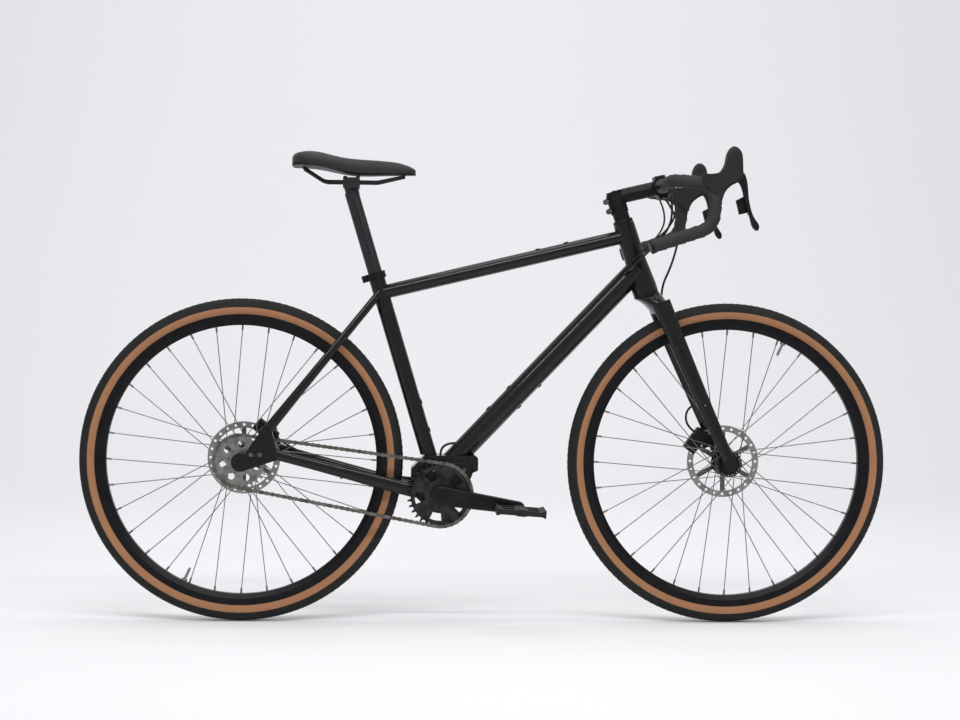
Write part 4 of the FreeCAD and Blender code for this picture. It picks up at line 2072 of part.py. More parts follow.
def caliper_place(axle, angle):
    """Turns a caliper that was drawn above an axle to its place round the rotor."""
    return FreeCAD.Placement(axle, FreeCAD.Rotation(vec(0, 1, 0), angle))


def caliper_block(offset):
    """Caliper body drawn above the axle, open at the foot, with slot, pad room and window."""
    inner = offset - size("caliper_inner")
    outer = offset + size("caliper_outer")
    half_long = size("caliper_length") / 2
    top = size("rotor_radius") + size("caliper_over")
    low = top - size("caliper_depth")
    block = Part.makeBox(2 * half_long, outer - inner, top - low, vec(-half_long, inner, low))
    block = round_rims(block, size("caliper_edge"), lambda edge: edge.BoundBox.ZMin > top - 0.01)
    slot_half = size("rotor_thickness") / 2 + size("side_gap")
    slot_top = size("rotor_radius") + size("bolt_radius")
    slot = Part.makeBox(4 * half_long, 2 * slot_half, slot_top, vec(-2 * half_long, offset - slot_half, 0))
    room_half = size("rotor_thickness") / 2 + size("pad_gap") + size("pad_thickness") + size("seat_gap")
    room_long = size("pad_length") / 2 + size("seat_gap")
    room = Part.makeBox(2 * room_long, 2 * room_half, size("rotor_radius") + size("seat_gap"),
                        vec(-room_long, offset - room_half, 0))
    window_half = size("caliper_window") / 2
    window = Part.makeBox(2 * window_half, 2 * room_half, top, vec(-window_half, offset - room_half, low))
    return block.cut(slot).cut(room).cut(window)


def brake_pad(offset, side):
    face = offset + side * (size("rotor_thickness") / 2 + size("pad_gap"))
    back = face + side * size("pad_thickness")
    half_long = size("pad_length") / 2
    low = size("rotor_radius") - size("pad_depth")
    return Part.makeBox(2 * half_long, abs(back - face), size("pad_depth"),
                        vec(-half_long, min(face, back), low))


def make_brake(word, axle, angle, offset, foot):
    place = caliper_place(axle, angle)
    body = caliper_block(offset)
    body.Placement = place
    feature(f"{word}_caliper", foot(body))
    for side, side_word in ((-1, "right"), (1, "left")):
        brake = brake_pad(offset, side)
        brake.Placement = place
        feature(f"{word}_pad_{side_word}", brake)


def front_foot(body):
    """The caliper's foot lies against the back of the left fork leg."""
    low = size("caliper_foot_height") - size("caliper_foot_length") / 2
    deep = size("caliper_foot_depth")
    wide = size("leg_bottom_width")
    box = Part.makeBox(deep, wide, size("caliper_foot_length"), vec(-deep, -wide / 2, 0))
    across = size("leg_bottom_side") - wide / 4
    box.Placement = place_along(on_steer(low, size("fork_rake") - size("caliper_edge"), across), steer_up)
    room_end = size("front_rotor_offset") + size("rotor_thickness") + size("side_gap")
    rotor_room = cross_bar(front_axle, 0, room_end, size("rotor_radius") + size("side_gap"))
    return fuse([body, box.cut(rotor_room)]).cut(fork_leg(1, size("seat_gap")))


def rear_foot(body):
    """The caliper's two feet lie against the inside of the left dropout."""
    outer = size("rear_rotor_offset") + size("caliper_outer")
    reach = size("rear_hub_half") - size("seat_gap")
    top = size("rotor_radius") + size("caliper_over")
    feet = []
    for way in (-1, 1):
        spot = vec(way * size("caliper_length") / 3, 0, top - size("caliper_depth") / 2)
        foot = cross_bar(spot, outer - size("overlap"), reach, size("bolt_head_radius"))
        foot.Placement = caliper_place(rear_axle, size("rear_caliper_angle"))
        feet.append(foot)
    return fuse([body] + feet)


make_brake("front", front_axle, size("front_caliper_angle"), size("front_rotor_offset"), front_foot)
make_brake("rear", rear_axle, size("rear_caliper_angle"), size("rear_rotor_offset"), rear_foot)

# Hoses, cables and frame bolts
# Routes of the lines, chosen by hand: from the bar to where each one goes in.

FRONT_HOSE_ROUTE = [(408, 62, 925), (432, 44, 866), (414, 42, 790), (388, 42, 735)]
REAR_HOSE_ROUTE = [(398, -62, 912), (393, -44, 858), (330, -38, 794), (262, -12, 729)]
RIGHT_CABLE_ROUTE = [(404, -66, 932), (403, -52, 872), (334, -40, 816), (290, -12, 757)]
LEFT_CABLE_ROUTE = [(398, 64, 914), (395, 48, 862), (332, 38, 806), (280, 12, 747)]
GEARBOX_CABLE_ROUTE = [(-40, 9, 390), (-82, 9, 390), (-98, 9, 378), (-99, 9, 345)]
STAY_HOSE_ROUTE = [(-396, 66, 353), (-412, 62, 366)]
# Height on the steering axis, distance ahead of it and distance from the middle of the bike.
LEG_HOSE_ENTRY = (330, 20, 41)
LEG_HOSE_ROUTE = [(140, 43, 52), (134, 13, 48)]


def shape_of(label):
    return sub_parts[label].Shape


def trimmed(line, labels, away):
    """The longest piece of a line that is left outside the named tubes, moved off them by the gap."""
    for label in labels:
        line = line.cut(shape_of(label))
    kept = max(line.Solids, key=lambda solid: solid.Volume).copy()
    kept.translate(away * size("line_gap"))
    return kept


def under_tape(side, angle, radius):
    """Where a line leaves the end of the bar tape, at an angle round the bar."""
    turn = math.radians(angle)
    reach = size("bar_radius") + radius + size("line_gap")
    across = side * (size("tape_start") - size("hose_radius"))
    return bar_middle + vec(reach * math.cos(turn), across, reach * math.sin(turn))


def bar_line(side, angle, route, radius):
    """A line from under the bar tape along a route."""
    points = [under_tape(side, angle, radius)] + [vec(*point) for point in route]
    return bent_rod(points, radius, size("line_bend"))


def make_front_hose():
    route = FRONT_HOSE_ROUTE + [tuple(on_steer(*LEG_HOSE_ENTRY))]
    upper = bar_line(1, size("front_hose_angle"), route, size("hose_radius"))
    upper = upper.cut(fork_leg(1, size("line_gap")))
    upper = max(upper.Solids, key=lambda solid: solid.Volume)
    port = caliper_place(front_axle, size("front_caliper_angle")).multVec(
        vec(size("caliper_length") / 4, size("front_rotor_offset") + size("caliper_edge"),
            size("rotor_radius") + size("caliper_over") + size("line_gap")))
    outward = caliper_place(vec(0, 0, 0), size("front_caliper_angle")).multVec(vec(0, 0, 1))
    leg_points = [on_steer(*point) for point in LEG_HOSE_ROUTE]
    lower = bent_rod(leg_points + [port + outward * size("hose_straight"), port], size("hose_radius"),
                     size("hose_end_bend"))
    lower = lower.cut(fork_leg(1, size("line_gap")))
    lower = max(lower.Solids, key=lambda solid: solid.Volume)
    group("front_brake_hose", [upper, lower])


def make_control_lines():
    aside = vec(0, 1, 0)
    rear_hose = bar_line(-1, size("under_bar_angle"), REAR_HOSE_ROUTE, size("hose_radius"))
    right_cable = bar_line(-1, size("right_cable_angle"), RIGHT_CABLE_ROUTE, size("cable_radius"))
    left_cable = bar_line(1, size("under_bar_angle"), LEFT_CABLE_ROUTE, size("cable_radius"))
    lines = [
        trimmed(rear_hose, ["down_tube"], -aside),
        trimmed(right_cable, ["down_tube"], -aside),
        trimmed(left_cable, ["down_tube"], aside),
    ]
    for side in (-1, 1):
        points = [vec(x, side * y, z) for x, y, z in GEARBOX_CABLE_ROUTE]
        arc = bent_rod(points, size("cable_radius"), size("line_bend"))
        lines.append(trimmed(arc, ["down_tube", "gearbox_cradle", "gearbox_housing"], vec(0, 0, 1)))
    port = caliper_place(rear_axle, size("rear_caliper_angle")).multVec(
        vec(size("caliper_length") / 2 + size("line_gap"), size("rear_rotor_offset") + size("caliper_edge"),
            size("rotor_radius")))
    outward = caliper_place(vec(0, 0, 0), size("rear_caliper_angle")).multVec(vec(1, 0, 0))
    stay_points = [vec(*point) for point in STAY_HOSE_ROUTE]
    tail = bent_rod(stay_points + [port + outward * size("hose_straight"), port], size("hose_radius"),
                    size("hose_end_bend"))
    lines.append(trimmed(tail, ["chain_stays"], vec(0, 0, 0)))
    group("control_lines", lines)


def make_frame_bolts():
    """Two bolts in each dropout slot, and those of the gearbox cover."""
    bolts = []
    outer = size("rear_hub_half") + size("dropout_thickness")
    stay_low = chain_stay_level(stay_end_x)
    for side in (-1, 1):
        for along in (0, size("dropout_slot_length")):
            spot = vec(rear_axle.x + size("dropout_slot_ahead") + along, side * outer, stay_low)
            bolts.append(bolt(spot, vec(0, side, 0), size("dropout_thickness")))
    for spot in cover_bolt_spots():
        bolts.append(bolt(spot, vec(0, -1, 0), size("gearbox_cover_thickness") - size("seat_gap")))
    group("frame_bolts", bolts)


def cover_bolt_spots():
    face = -size("gearbox_half") - size("gearbox_cover_thickness")
    inset = size("gearbox_cover_inset") + size("cover_bolt_inset")
    return [
        crank_axis + vec(size("gearbox_front") - inset, face, size("gearbox_top") - inset),
        crank_axis + vec(2 * inset - size("gearbox_back"), face, size("gearbox_top") - inset),
    ]


make_front_hose()
make_control_lines()
make_frame_bolts()


# Every piece is whole before anything is written
doc.recompute()
for thing in doc.Objects:
    if "Invalid" in thing.State or "Error" in thing.State:
        raise ValueError(f"{thing.Label} failed: {thing.State}")
for label, thing in sub_parts.items():
    if thing.Shape.isNull() or not thing.Shape.isValid():
        raise ValueError(f"{label} has no valid shape")
os.makedirs("parts", exist_ok=True)
for label, thing in sub_parts.items():
    thing.Shape.exportStep(f"parts/{label}.step")
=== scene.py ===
import bpy
import bmesh
import math
from mathutils import Matrix, Vector


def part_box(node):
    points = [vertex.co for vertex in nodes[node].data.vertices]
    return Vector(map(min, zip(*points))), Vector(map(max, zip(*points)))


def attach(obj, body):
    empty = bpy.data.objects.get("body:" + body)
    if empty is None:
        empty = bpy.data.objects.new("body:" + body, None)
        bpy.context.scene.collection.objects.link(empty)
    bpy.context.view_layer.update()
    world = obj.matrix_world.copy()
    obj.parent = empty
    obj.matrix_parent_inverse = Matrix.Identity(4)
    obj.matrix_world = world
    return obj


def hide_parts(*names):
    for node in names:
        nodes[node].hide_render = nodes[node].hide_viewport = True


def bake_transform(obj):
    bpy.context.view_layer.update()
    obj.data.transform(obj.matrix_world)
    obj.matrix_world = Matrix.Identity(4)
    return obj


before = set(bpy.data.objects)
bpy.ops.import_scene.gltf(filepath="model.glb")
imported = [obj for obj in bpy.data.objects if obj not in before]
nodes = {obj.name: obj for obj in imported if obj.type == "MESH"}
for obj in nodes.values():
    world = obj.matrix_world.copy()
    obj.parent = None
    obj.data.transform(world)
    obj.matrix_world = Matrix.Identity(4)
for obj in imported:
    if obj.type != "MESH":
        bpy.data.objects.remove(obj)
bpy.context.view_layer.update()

# Frame tubes
# Welded aluminium tubes with a deep gloss black coat: base colour, then a clear layer on top.
# The coat has a faint ripple, and a little fine dust that dulls it in places.


class Amount:
    """A shader value that Python's own operators work on. Each operation adds one Math node."""

    def __init__(self, finish, socket):
        self.finish = finish
        self.socket = socket

    def math(self, operation, first, second):
        return self.finish.add("ShaderNodeMath", {"operation": operation}, {0: first, 1: second})

    def __add__(self, other):
        return self.math("ADD", self, other)

    __radd__ = __add__

    def __sub__(self, other):
        return self.math("SUBTRACT", self, other)

    def __rsub__(self, other):
        return self.math("SUBTRACT", other, self)

    def __mul__(self, other):
        return self.math("MULTIPLY", self, other)

    def __gt__(self, other):
        return self.math("GREATER_THAN", self, other)

    def __lt__(self, other):
        return self.math("LESS_THAN", self, other)


class Finish:
    """One material. add makes a node, sets its settings first, then its sockets."""

    def __init__(self, name, **plain):
        self.material = bpy.data.materials.new(name)
        self.material.use_nodes = True
        self.tree = self.material.node_tree
        self.shader = self.tree.nodes["Principled BSDF"]
        for word, number in plain.items():
            self.shader.inputs[word.replace("_", " ").title().replace("Ior", "IOR")].default_value = number

    def add(self, kind, settings, sockets, output=0):
        node = self.tree.nodes.new(kind)
        for word, setting in settings.items():
            if word == "stops":
                ramp = node.color_ramp
                while len(ramp.elements) < len(setting):
                    ramp.elements.new(0.5)
                for element, (place, colour) in zip(ramp.elements, setting):
                    element.position = place
                    element.color = colour
            else:
                setattr(node, word, setting)
        for key, thing in sockets.items():
            self.join(thing, node.inputs[key])
        return Amount(self, node.outputs[output])

    def join(self, thing, socket):
        if isinstance(thing, Amount):
            self.tree.links.new(thing.socket, socket)
        else:
            socket.default_value = thing

    def feed(self, word, thing):
        self.join(thing, self.shader.inputs[word])

    def place(self):
        return self.add("ShaderNodeTexCoord", {}, {}, "Object")

    def noise(self, scale, detail):
        return self.add("ShaderNodeTexNoise", {},
                        {"Vector": self.place(), "Scale": scale, "Detail": detail})

    def ramp(self, factor, stops):
        return self.add("ShaderNodeValToRGB", {"stops": stops}, {"Fac": factor})

    def blend(self, factor, first, second):
        return self.add("ShaderNodeMix", {"data_type": "RGBA"}, {"Factor": factor, 6: first, 7: second}, 2)

    def bump(self, height, strength, distance=0.001):
        self.feed("Normal", self.add("ShaderNodeBump", {}, {"Height": height, "Strength": strength,
                                                            "Distance": distance}))


def colour(red, green, blue):
    return (red, green, blue, 1.0)


def dress(finish, *names):
    """Gives CAD nodes their finish."""
    for name in names:
        nodes[name].data.materials.clear()
        nodes[name].data.materials.append(finish.material)


def gloss_black(name, dust_amount):
    finish = Finish(name, coat_roughness=0.04, coat_ior=1.5, specular_ior_level=0.15)
    dust = finish.ramp(finish.noise(9.0, 6.0), [(0.45, colour(0, 0, 0)), (0.75, colour(1, 1, 1))])
    finish.feed("Base Color", finish.blend(dust * dust_amount, colour(0.003, 0.003, 0.0035),
                                           colour(0.03, 0.03, 0.03)))
    finish.feed("Roughness", 0.22 + dust * 0.10)
    finish.feed("Coat Weight", 0.42 - dust * 0.12)
    finish.bump(finish.noise(420.0, 2.0), 0.03)
    return finish


frame_paint = gloss_black("frame_gloss_black", 0.10)
dress(frame_paint, "top_tube", "down_tube", "seat_tube", "head_tube", "chain_stays", "seat_stays",
      "gearbox_cradle", "dropouts")


# Gearbox
# A sealed cast housing, painted nearly black over a slightly grainy casting.
# Its right side is closed by a flat machined cover.

casting = Finish("gearbox_casting", metallic=0.3, specular_ior_level=0.2)
casting_grain = casting.noise(700.0, 4.0)
casting_cloud = casting.noise(14.0, 4.0)
casting.feed("Base Color", casting.blend(casting_cloud, colour(0.008, 0.008, 0.009),
                                         colour(0.020, 0.020, 0.021)))
casting.feed("Roughness", 0.42 + casting_grain * 0.2)
casting.bump(casting_grain, 0.22, 0.0006)
dress(casting, "gearbox_housing")


def anodised(name, dark, shade, rough):
    finish = Finish(name, metallic=0.85, specular_ior_level=0.2)
    cloud = finish.noise(30.0, 4.0)
    finish.feed("Base Color", finish.blend(cloud, dark, shade))
    finish.feed("Roughness", rough + cloud * 0.12)
    finish.bump(finish.noise(900.0, 2.0), 0.05, 0.0005)
    return finish


cover_black = anodised("gearbox_cover_black", colour(0.014, 0.014, 0.015), colour(0.030, 0.030, 0.032), 0.36)
dress(cover_black, "gearbox_cover")

# Cranks, pedals, chain and toothed wheels
# Forged black cranks, moulded platform pedals, plated steel teeth and a steel chain with a film of oil.
# The teeth and the chain have brown patches where the oil has caught dust.

crank_black = anodised("crank_black", colour(0.012, 0.012, 0.013), colour(0.030, 0.030, 0.032), 0.30)
dress(crank_black, "crank_right", "crank_left")
pedal_plastic = Finish("pedal_plastic", specular_ior_level=0.25)
pedal_grain = pedal_plastic.noise(600.0, 3.0)
pedal_scuff = pedal_plastic.noise(40.0, 5.0)
pedal_plastic.feed("Base Color", pedal_plastic.blend(pedal_scuff, colour(0.006, 0.006, 0.006),
                                                     colour(0.020, 0.020, 0.019)))
pedal_plastic.feed("Roughness", 0.5 + pedal_grain * 0.2)
pedal_plastic.bump(pedal_grain, 0.25, 0.0005)
dress(pedal_plastic, "pedal_right", "pedal_left")


def oiled_steel(name, bright, brown, rough):
    finish = Finish(name, metallic=1.0)
    film = finish.ramp(finish.noise(70.0, 5.0), [(0.40, colour(0, 0, 0)), (0.66, colour(1, 1, 1))])
    finish.feed("Base Color", finish.blend(film, bright, brown))
    finish.feed("Roughness", rough + film * 0.16)
    finish.bump(finish.noise(800.0, 2.0), 0.08, 0.0003)
    return finish


dress(oiled_steel("chain_steel", colour(0.20, 0.19, 0.175), colour(0.09, 0.077, 0.063), 0.32), "chain")
dress(oiled_steel("sprocket_steel", colour(0.30, 0.295, 0.285), colour(0.16, 0.15, 0.135), 0.28),
      "rear_sprocket")
dress(oiled_steel("chainring_steel", colour(0.05, 0.05, 0.05), colour(0.022, 0.0215, 0.0205), 0.36),
      "chainring")

# Fork, bolts and metal of the cockpit
# A moulded fork in the frame's black. The stem, the bar, the levers and the paddles have a fine
# blasted surface, and the bolts are of bare dark steel.

dress(gloss_black("fork_gloss_black", 0.08), "fork")
blasted_black = anodised("blasted_black", colour(0.012, 0.012, 0.013), colour(0.026, 0.026, 0.028), 0.40)
dress(blasted_black, "stem", "stem_faceplate", "handlebar", "brake_lever_right", "brake_lever_left",
      "shift_paddle_right", "shift_paddle_left")
bolt_steel = anodised("bolt_steel", colour(0.07, 0.07, 0.075), colour(0.20, 0.20, 0.21), 0.30)
dress(bolt_steel, "stem_bolts", "frame_bolts")

# Seat
# A post of dark grey anodised aluminium, black plated rails, and a moulded shell under a foam pad.
# The pad's cover is a fine grained black microfibre with a shallow channel along the middle.

post_grey = anodised("post_grey", colour(0.030, 0.031, 0.034), colour(0.052, 0.053, 0.056), 0.30)
dress(post_grey, "seatpost", "rail_clamp")
dress(blasted_black, "saddle_rails")
shell_plastic = Finish("saddle_shell_plastic", roughness=0.5, specular_ior_level=0.25)
shell_grain = shell_plastic.noise(500.0, 3.0)
shell_plastic.feed("Base Color", shell_plastic.blend(shell_grain, colour(0.006, 0.006, 0.006),
                                                     colour(0.015, 0.015, 0.015)))
shell_plastic.bump(shell_grain, 0.2, 0.0005)
dress(shell_plastic, "saddle_shell")

# Along the saddle: place, half width, level of the cover's foot, level of its crown.
saddle_stations = [
    (-0.4258, 0.0250, 0.9950, 1.0110), (-0.4200, 0.0440, 0.9945, 1.0170), (-0.4080, 0.0600, 0.9940, 1.0208),
    (-0.3880, 0.0690, 0.9925, 1.0228), (-0.3640, 0.0712, 0.9890, 1.0205), (-0.3380, 0.0620, 0.9830, 1.0145),
    (-0.3100, 0.0460, 0.9780, 1.0095), (-0.2800, 0.0330, 0.9757, 1.0072), (-0.2400, 0.0240, 0.9755, 1.0055),
    (-0.2000, 0.0205, 0.9762, 1.0010), (-0.1760, 0.0180, 0.9770, 0.9945), (-0.1640, 0.0130, 0.9778, 0.9890),
    (-0.1586, 0.0070, 0.9788, 0.9845),
]
saddle_lines = 64
saddle_around = 40
foot_angle = math.radians(24)
side_power = 0.82
crown_power = 0.86
channel_depth = 0.0034
channel_half_width = 0.008
channel_half_length = 0.095
channel_middle = -0.305


def smooth_between(rows, share):
    """A smooth curve through rows of numbers, at a share of their count."""
    spot = share * (len(rows) - 1)
    first = min(int(spot), len(rows) - 2)
    part = spot - first
    before = rows[max(first - 1, 0)]
    after = rows[min(first + 2, len(rows) - 1)]
    mixed = []
    for a, b, c, d in zip(before, rows[first], rows[first + 1], after):
        cubic = part * (3 * (b - c) + d - a)
        mixed.append(b + 0.5 * part * (c - a + part * (2 * a - 5 * b + 4 * c - d + cubic)))
    return mixed


def piece_from(build, name, material, smooth):
    """Makes a built form a piece of the scene, with its faces turned outward."""
    bmesh.ops.recalc_face_normals(build, faces=build.faces)
    mesh = bpy.data.meshes.new(name)
    build.to_mesh(mesh)
    build.free()
    mesh.materials.append(material)
    for face in mesh.polygons:
        face.use_smooth = smooth
    piece = bpy.data.objects.new(name, mesh)
    bpy.context.collection.objects.link(piece)
    return piece


def saddle_cover(name, material):
    """A crowned form whose sides pull in at the foot, over a flat bed."""
    build = bmesh.new()
    rings = []
    for line in range(saddle_lines):
        x, half, low, top = smooth_between(saddle_stations, line / (saddle_lines - 1))
        channel_share = max(0.0, 1 - ((x - channel_middle) / channel_half_length) ** 2)
        ring = []
        for step in range(saddle_around + 1):
            angle = -foot_angle + (math.pi + 2 * foot_angle) * step / saddle_around
            flat = math.copysign(abs(math.cos(angle)) ** side_power, math.cos(angle))
            rise = math.copysign(abs(math.sin(angle)) ** crown_power, math.sin(angle))
            lift = (rise + math.sin(foot_angle)) / (1 + math.sin(foot_angle))
            y = half * flat
            z = low + (top - low) * max(lift, 0.0)
            channel = channel_depth * math.exp(-(y / channel_half_width) ** 2) * channel_share
            ring.append(build.verts.new((x, y, z - channel * max(math.sin(angle), 0.0))))
        rings.append(ring)
    for first, second in zip(rings, rings[1:]):
        for step in range(saddle_around):
            build.faces.new((first[step], first[step + 1], second[step + 1], second[step]))
        build.faces.new((first[saddle_around], first[0], second[0], second[saddle_around]))
    build.faces.new(rings[0])
    build.faces.new(list(reversed(rings[-1])))
    return piece_from(build, name, material, True)


cover_cloth = Finish("saddle_microfibre", sheen_weight=0.06, sheen_roughness=0.4, specular_ior_level=0.3)
cover_grain = cover_cloth.add("ShaderNodeTexVoronoi", {}, {"Vector": cover_cloth.place(), "Scale": 900.0})
cover_rub = cover_cloth.noise(16.0, 5.0)
cover_cloth.feed("Base Color", cover_cloth.blend(cover_rub, colour(0.009, 0.009, 0.010),
                                                 colour(0.024, 0.024, 0.025)))
cover_cloth.feed("Roughness", 0.48 + cover_rub * 0.18)
cover_cloth.bump(cover_grain, 0.25, 0.0005)
pad_cover = saddle_cover("saddle_pad_cover", cover_cloth.material)
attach(pad_cover, "seat")
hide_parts("saddle_pad")

# Tyres
# Folding gravel tyres: a black rubber tread with rows of low knobs, moulded over a bare tan casing.
# The casing's threads cross at a slant, and the tread wraps round the shoulder onto the wall.

tread_black = colour(0.010, 0.010, 0.011)
casing_tan = colour(0.33, 0.150, 0.070)
casing_inner = 0.3140
casing_outer = 0.3325
edge_wobble = 0.0012
threads_around = 900.0
threads_outward = 2600.0


def from_axle(finish, centre):
    """A point's way from the axle, in the wheel's plane."""
    flat = finish.add("ShaderNodeVectorMath", {"operation": "MULTIPLY"},
                      {0: finish.place(), 1: (1.0, 0.0, 1.0)})
    return finish.add("ShaderNodeVectorMath", {"operation": "SUBTRACT"},
                      {0: flat, 1: (centre.x, 0.0, centre.z)})


def length_of(finish, vector):
    return finish.add("ShaderNodeVectorMath", {"operation": "LENGTH"}, {0: vector}, "Value")


def ahead_and_up(finish, vector):
    """A vector's part along the bike and its part upward."""
    ahead = finish.add("ShaderNodeSeparateXYZ", {}, {"Vector": vector}, "X")
    return ahead, Amount(finish, ahead.socket.node.outputs["Z"])


def sine(finish, angle):
    return finish.add("ShaderNodeMath", {"operation": "SINE"}, {0: angle})


def tyre_finish(name, centre):
    finish = Finish(name, specular_ior_level=0.25)
    out = from_axle(finish, centre)
    radius = length_of(finish, out)
    ahead, up = ahead_and_up(finish, out)
    around = finish.add("ShaderNodeMath", {"operation": "ARCTAN2"}, {0: up, 1: ahead})
    wobble = finish.noise(60.0, 2.0) * edge_wobble
    wall = (radius + wobble > casing_inner) * (radius + wobble < casing_outer)
    slant_one = sine(finish, around * threads_around + radius * threads_outward)
    slant_two = sine(finish, around * threads_around - radius * threads_outward)
    threads = slant_one * slant_two * 0.5 + 0.5
    age = finish.noise(22.0, 4.0)
    light_tan = finish.blend(age, casing_tan, colour(0.40, 0.200, 0.100))
    tan = finish.blend(threads * 0.25, light_tan, colour(0.20, 0.088, 0.042))
    worn = finish.blend(finish.noise(35.0, 5.0), tread_black, colour(0.022, 0.0215, 0.021))
    finish.feed("Base Color", finish.blend(wall, worn, tan))
    finish.feed("Roughness", 0.78 - wall * 0.18 + age * 0.08)
    finish.bump(threads * wall + finish.noise(500.0, 2.0) * 0.6, 0.25, 0.0004)
    return finish


def wheel_centre(node):
    low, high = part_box(node)
    return (low + high) / 2


class PatternTree:
    """A Geometry Nodes tree that is built by expressions, with named inputs."""

    def __init__(self, name):
        self.tree = bpy.data.node_groups.new(name, "GeometryNodeTree")
        self.tree.interface.new_socket("Geometry", in_out="OUTPUT", socket_type="NodeSocketGeometry")
        self.values = {}
        self.source = self.tree.nodes.new("NodeGroupInput")

    def input(self, name, kind, amount):
        socket = self.tree.interface.new_socket(name, in_out="INPUT", socket_type=kind)
        self.values[socket.identifier] = amount
        return self.source.outputs[name]

    def add(self, kind, settings, sockets, output=0):
        node = self.tree.nodes.new(kind)
        for word, setting in settings.items():
            setattr(node, word, setting)
        for key, thing in sockets.items():
            if isinstance(thing, bpy.types.NodeSocket):
                self.tree.links.new(thing, node.inputs[key])
            else:
                node.inputs[key].default_value = thing
        return node.outputs[output]

    def finish(self, geometry, material, name):
        """Realizes the instances and returns them as one plain mesh object."""
        real = self.add("GeometryNodeRealizeInstances", {}, {0: geometry})
        dressed = self.add("GeometryNodeSetMaterial", {}, {0: real, "Material": material})
        end = self.tree.nodes.new("NodeGroupOutput")
        self.tree.links.new(dressed, end.inputs[0])
        carrier = bpy.data.objects.new(name + "_carrier", bpy.data.meshes.new(name + "_carrier"))
        bpy.context.collection.objects.link(carrier)
        modifier = carrier.modifiers.new("pattern", "NODES")
        modifier.node_group = self.tree
        for identifier, amount in self.values.items():
            modifier[identifier] = amount
        graph = bpy.context.evaluated_depsgraph_get()
        mesh = bpy.data.meshes.new_from_object(carrier.evaluated_get(graph))
        carrier.modifiers.clear()
        bpy.data.objects.remove(carrier)
        piece = bpy.data.objects.new(name, mesh)
        bpy.context.collection.objects.link(piece)
        return piece


# Rows of knobs: lean from the tyre's crown, shift in knobs, width, length.
knob_rows = [
    (-1.05, 0.5, 0.0058, 0.0046), (-0.70, 0.0, 0.0046, 0.0050), (-0.36, 0.5, 0.0040, 0.0052),
    (0.0, 0.0, 0.0040, 0.0056),
    (0.36, 0.5, 0.0040, 0.0052), (0.70, 0.0, 0.0046, 0.0050), (1.05, 0.5, 0.0058, 0.0046),
]
knob_count = 150
knob_height = 0.0014
knob_sunk = knob_height / 4
tyre_outer = 0.3510
tyre_round = 0.0199


def tread_knobs(name, centre, material):
    """Rows of low knobs round the tyre. Each row follows the tyre's round section."""
    pattern = PatternTree(name)
    count = pattern.input("Knobs in a row", "NodeSocketInt", knob_count)
    rows = pattern.tree.nodes.new("GeometryNodeJoinGeometry")
    place = pattern.add("GeometryNodeInputPosition", {}, {})
    outward = pattern.add("FunctionNodeAlignRotationToVector", {"axis": "X", "pivot_axis": "Z"},
                          {"Vector": place})
    for lean, shift, wide, long in knob_rows:
        row_radius = tyre_outer - tyre_round + tyre_round * math.cos(lean) - knob_sunk
        circle = pattern.add("GeometryNodeMeshCircle", {}, {"Vertices": count, "Radius": row_radius})
        block = pattern.add("GeometryNodeMeshCube", {}, {"Size": (knob_height, long, wide)})
        leaned = pattern.add("GeometryNodeTransform", {}, {"Geometry": block, "Rotation": (0.0, -lean, 0.0)})
        spots = pattern.add("GeometryNodeInstanceOnPoints", {},
                            {"Points": circle, "Instance": leaned, "Rotation": outward})
        turn = (0.0, 0.0, shift * math.tau / knob_count)
        aside = (0.0, 0.0, tyre_round * math.sin(lean))
        row = pattern.add("GeometryNodeTransform", {},
                          {"Geometry": spots, "Rotation": turn, "Translation": aside})
        pattern.tree.links.new(row, rows.inputs[0])
    upright = (math.pi / 2, 0.0, 0.0)
    wheel = pattern.add("GeometryNodeTransform", {},
                        {"Geometry": rows.outputs[0], "Rotation": upright, "Translation": centre})
    return pattern.finish(wheel, material, name)


for end in ("front", "rear"):
    centre = wheel_centre(f"{end}_tyre")
    rubber = tyre_finish(f"{end}_tyre_rubber", centre)
    dress(rubber, f"{end}_tyre")
    knobs = tread_knobs(f"{end}_tread_knobs", centre, rubber.material)
    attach(knobs, f"{end}_wheel")

# Rims, hubs and spokes
# Hollow black anodised rims, hubs in a like black, and plain grey steel spokes. The seat clamp, the
# headset's stack and the axles share the hubs' black. A valve with a round nut goes through each rim.

turned_steps = 24
same_place = 1e-7


def turned_profile(name, outline, place, along, material):
    """An outline of radius and height, spun round an axis."""
    build = bmesh.new()
    rings = []
    for step in range(turned_steps):
        angle = math.tau * step / turned_steps
        rings.append([build.verts.new((radius * math.cos(angle), radius * math.sin(angle), height))
                      for radius, height in outline])
    for first, second in zip(rings, rings[1:] + rings[:1]):
        for spot in range(len(outline) - 1):
            build.faces.new((first[spot], second[spot], second[spot + 1], first[spot + 1]))
    bmesh.ops.remove_doubles(build, verts=build.verts, dist=same_place)
    turn = along.to_track_quat("Z", "Y").to_matrix().to_4x4()
    bmesh.ops.transform(build, matrix=Matrix.Translation(place) @ turn, verts=build.verts)
    return piece_from(build, name, material, False)


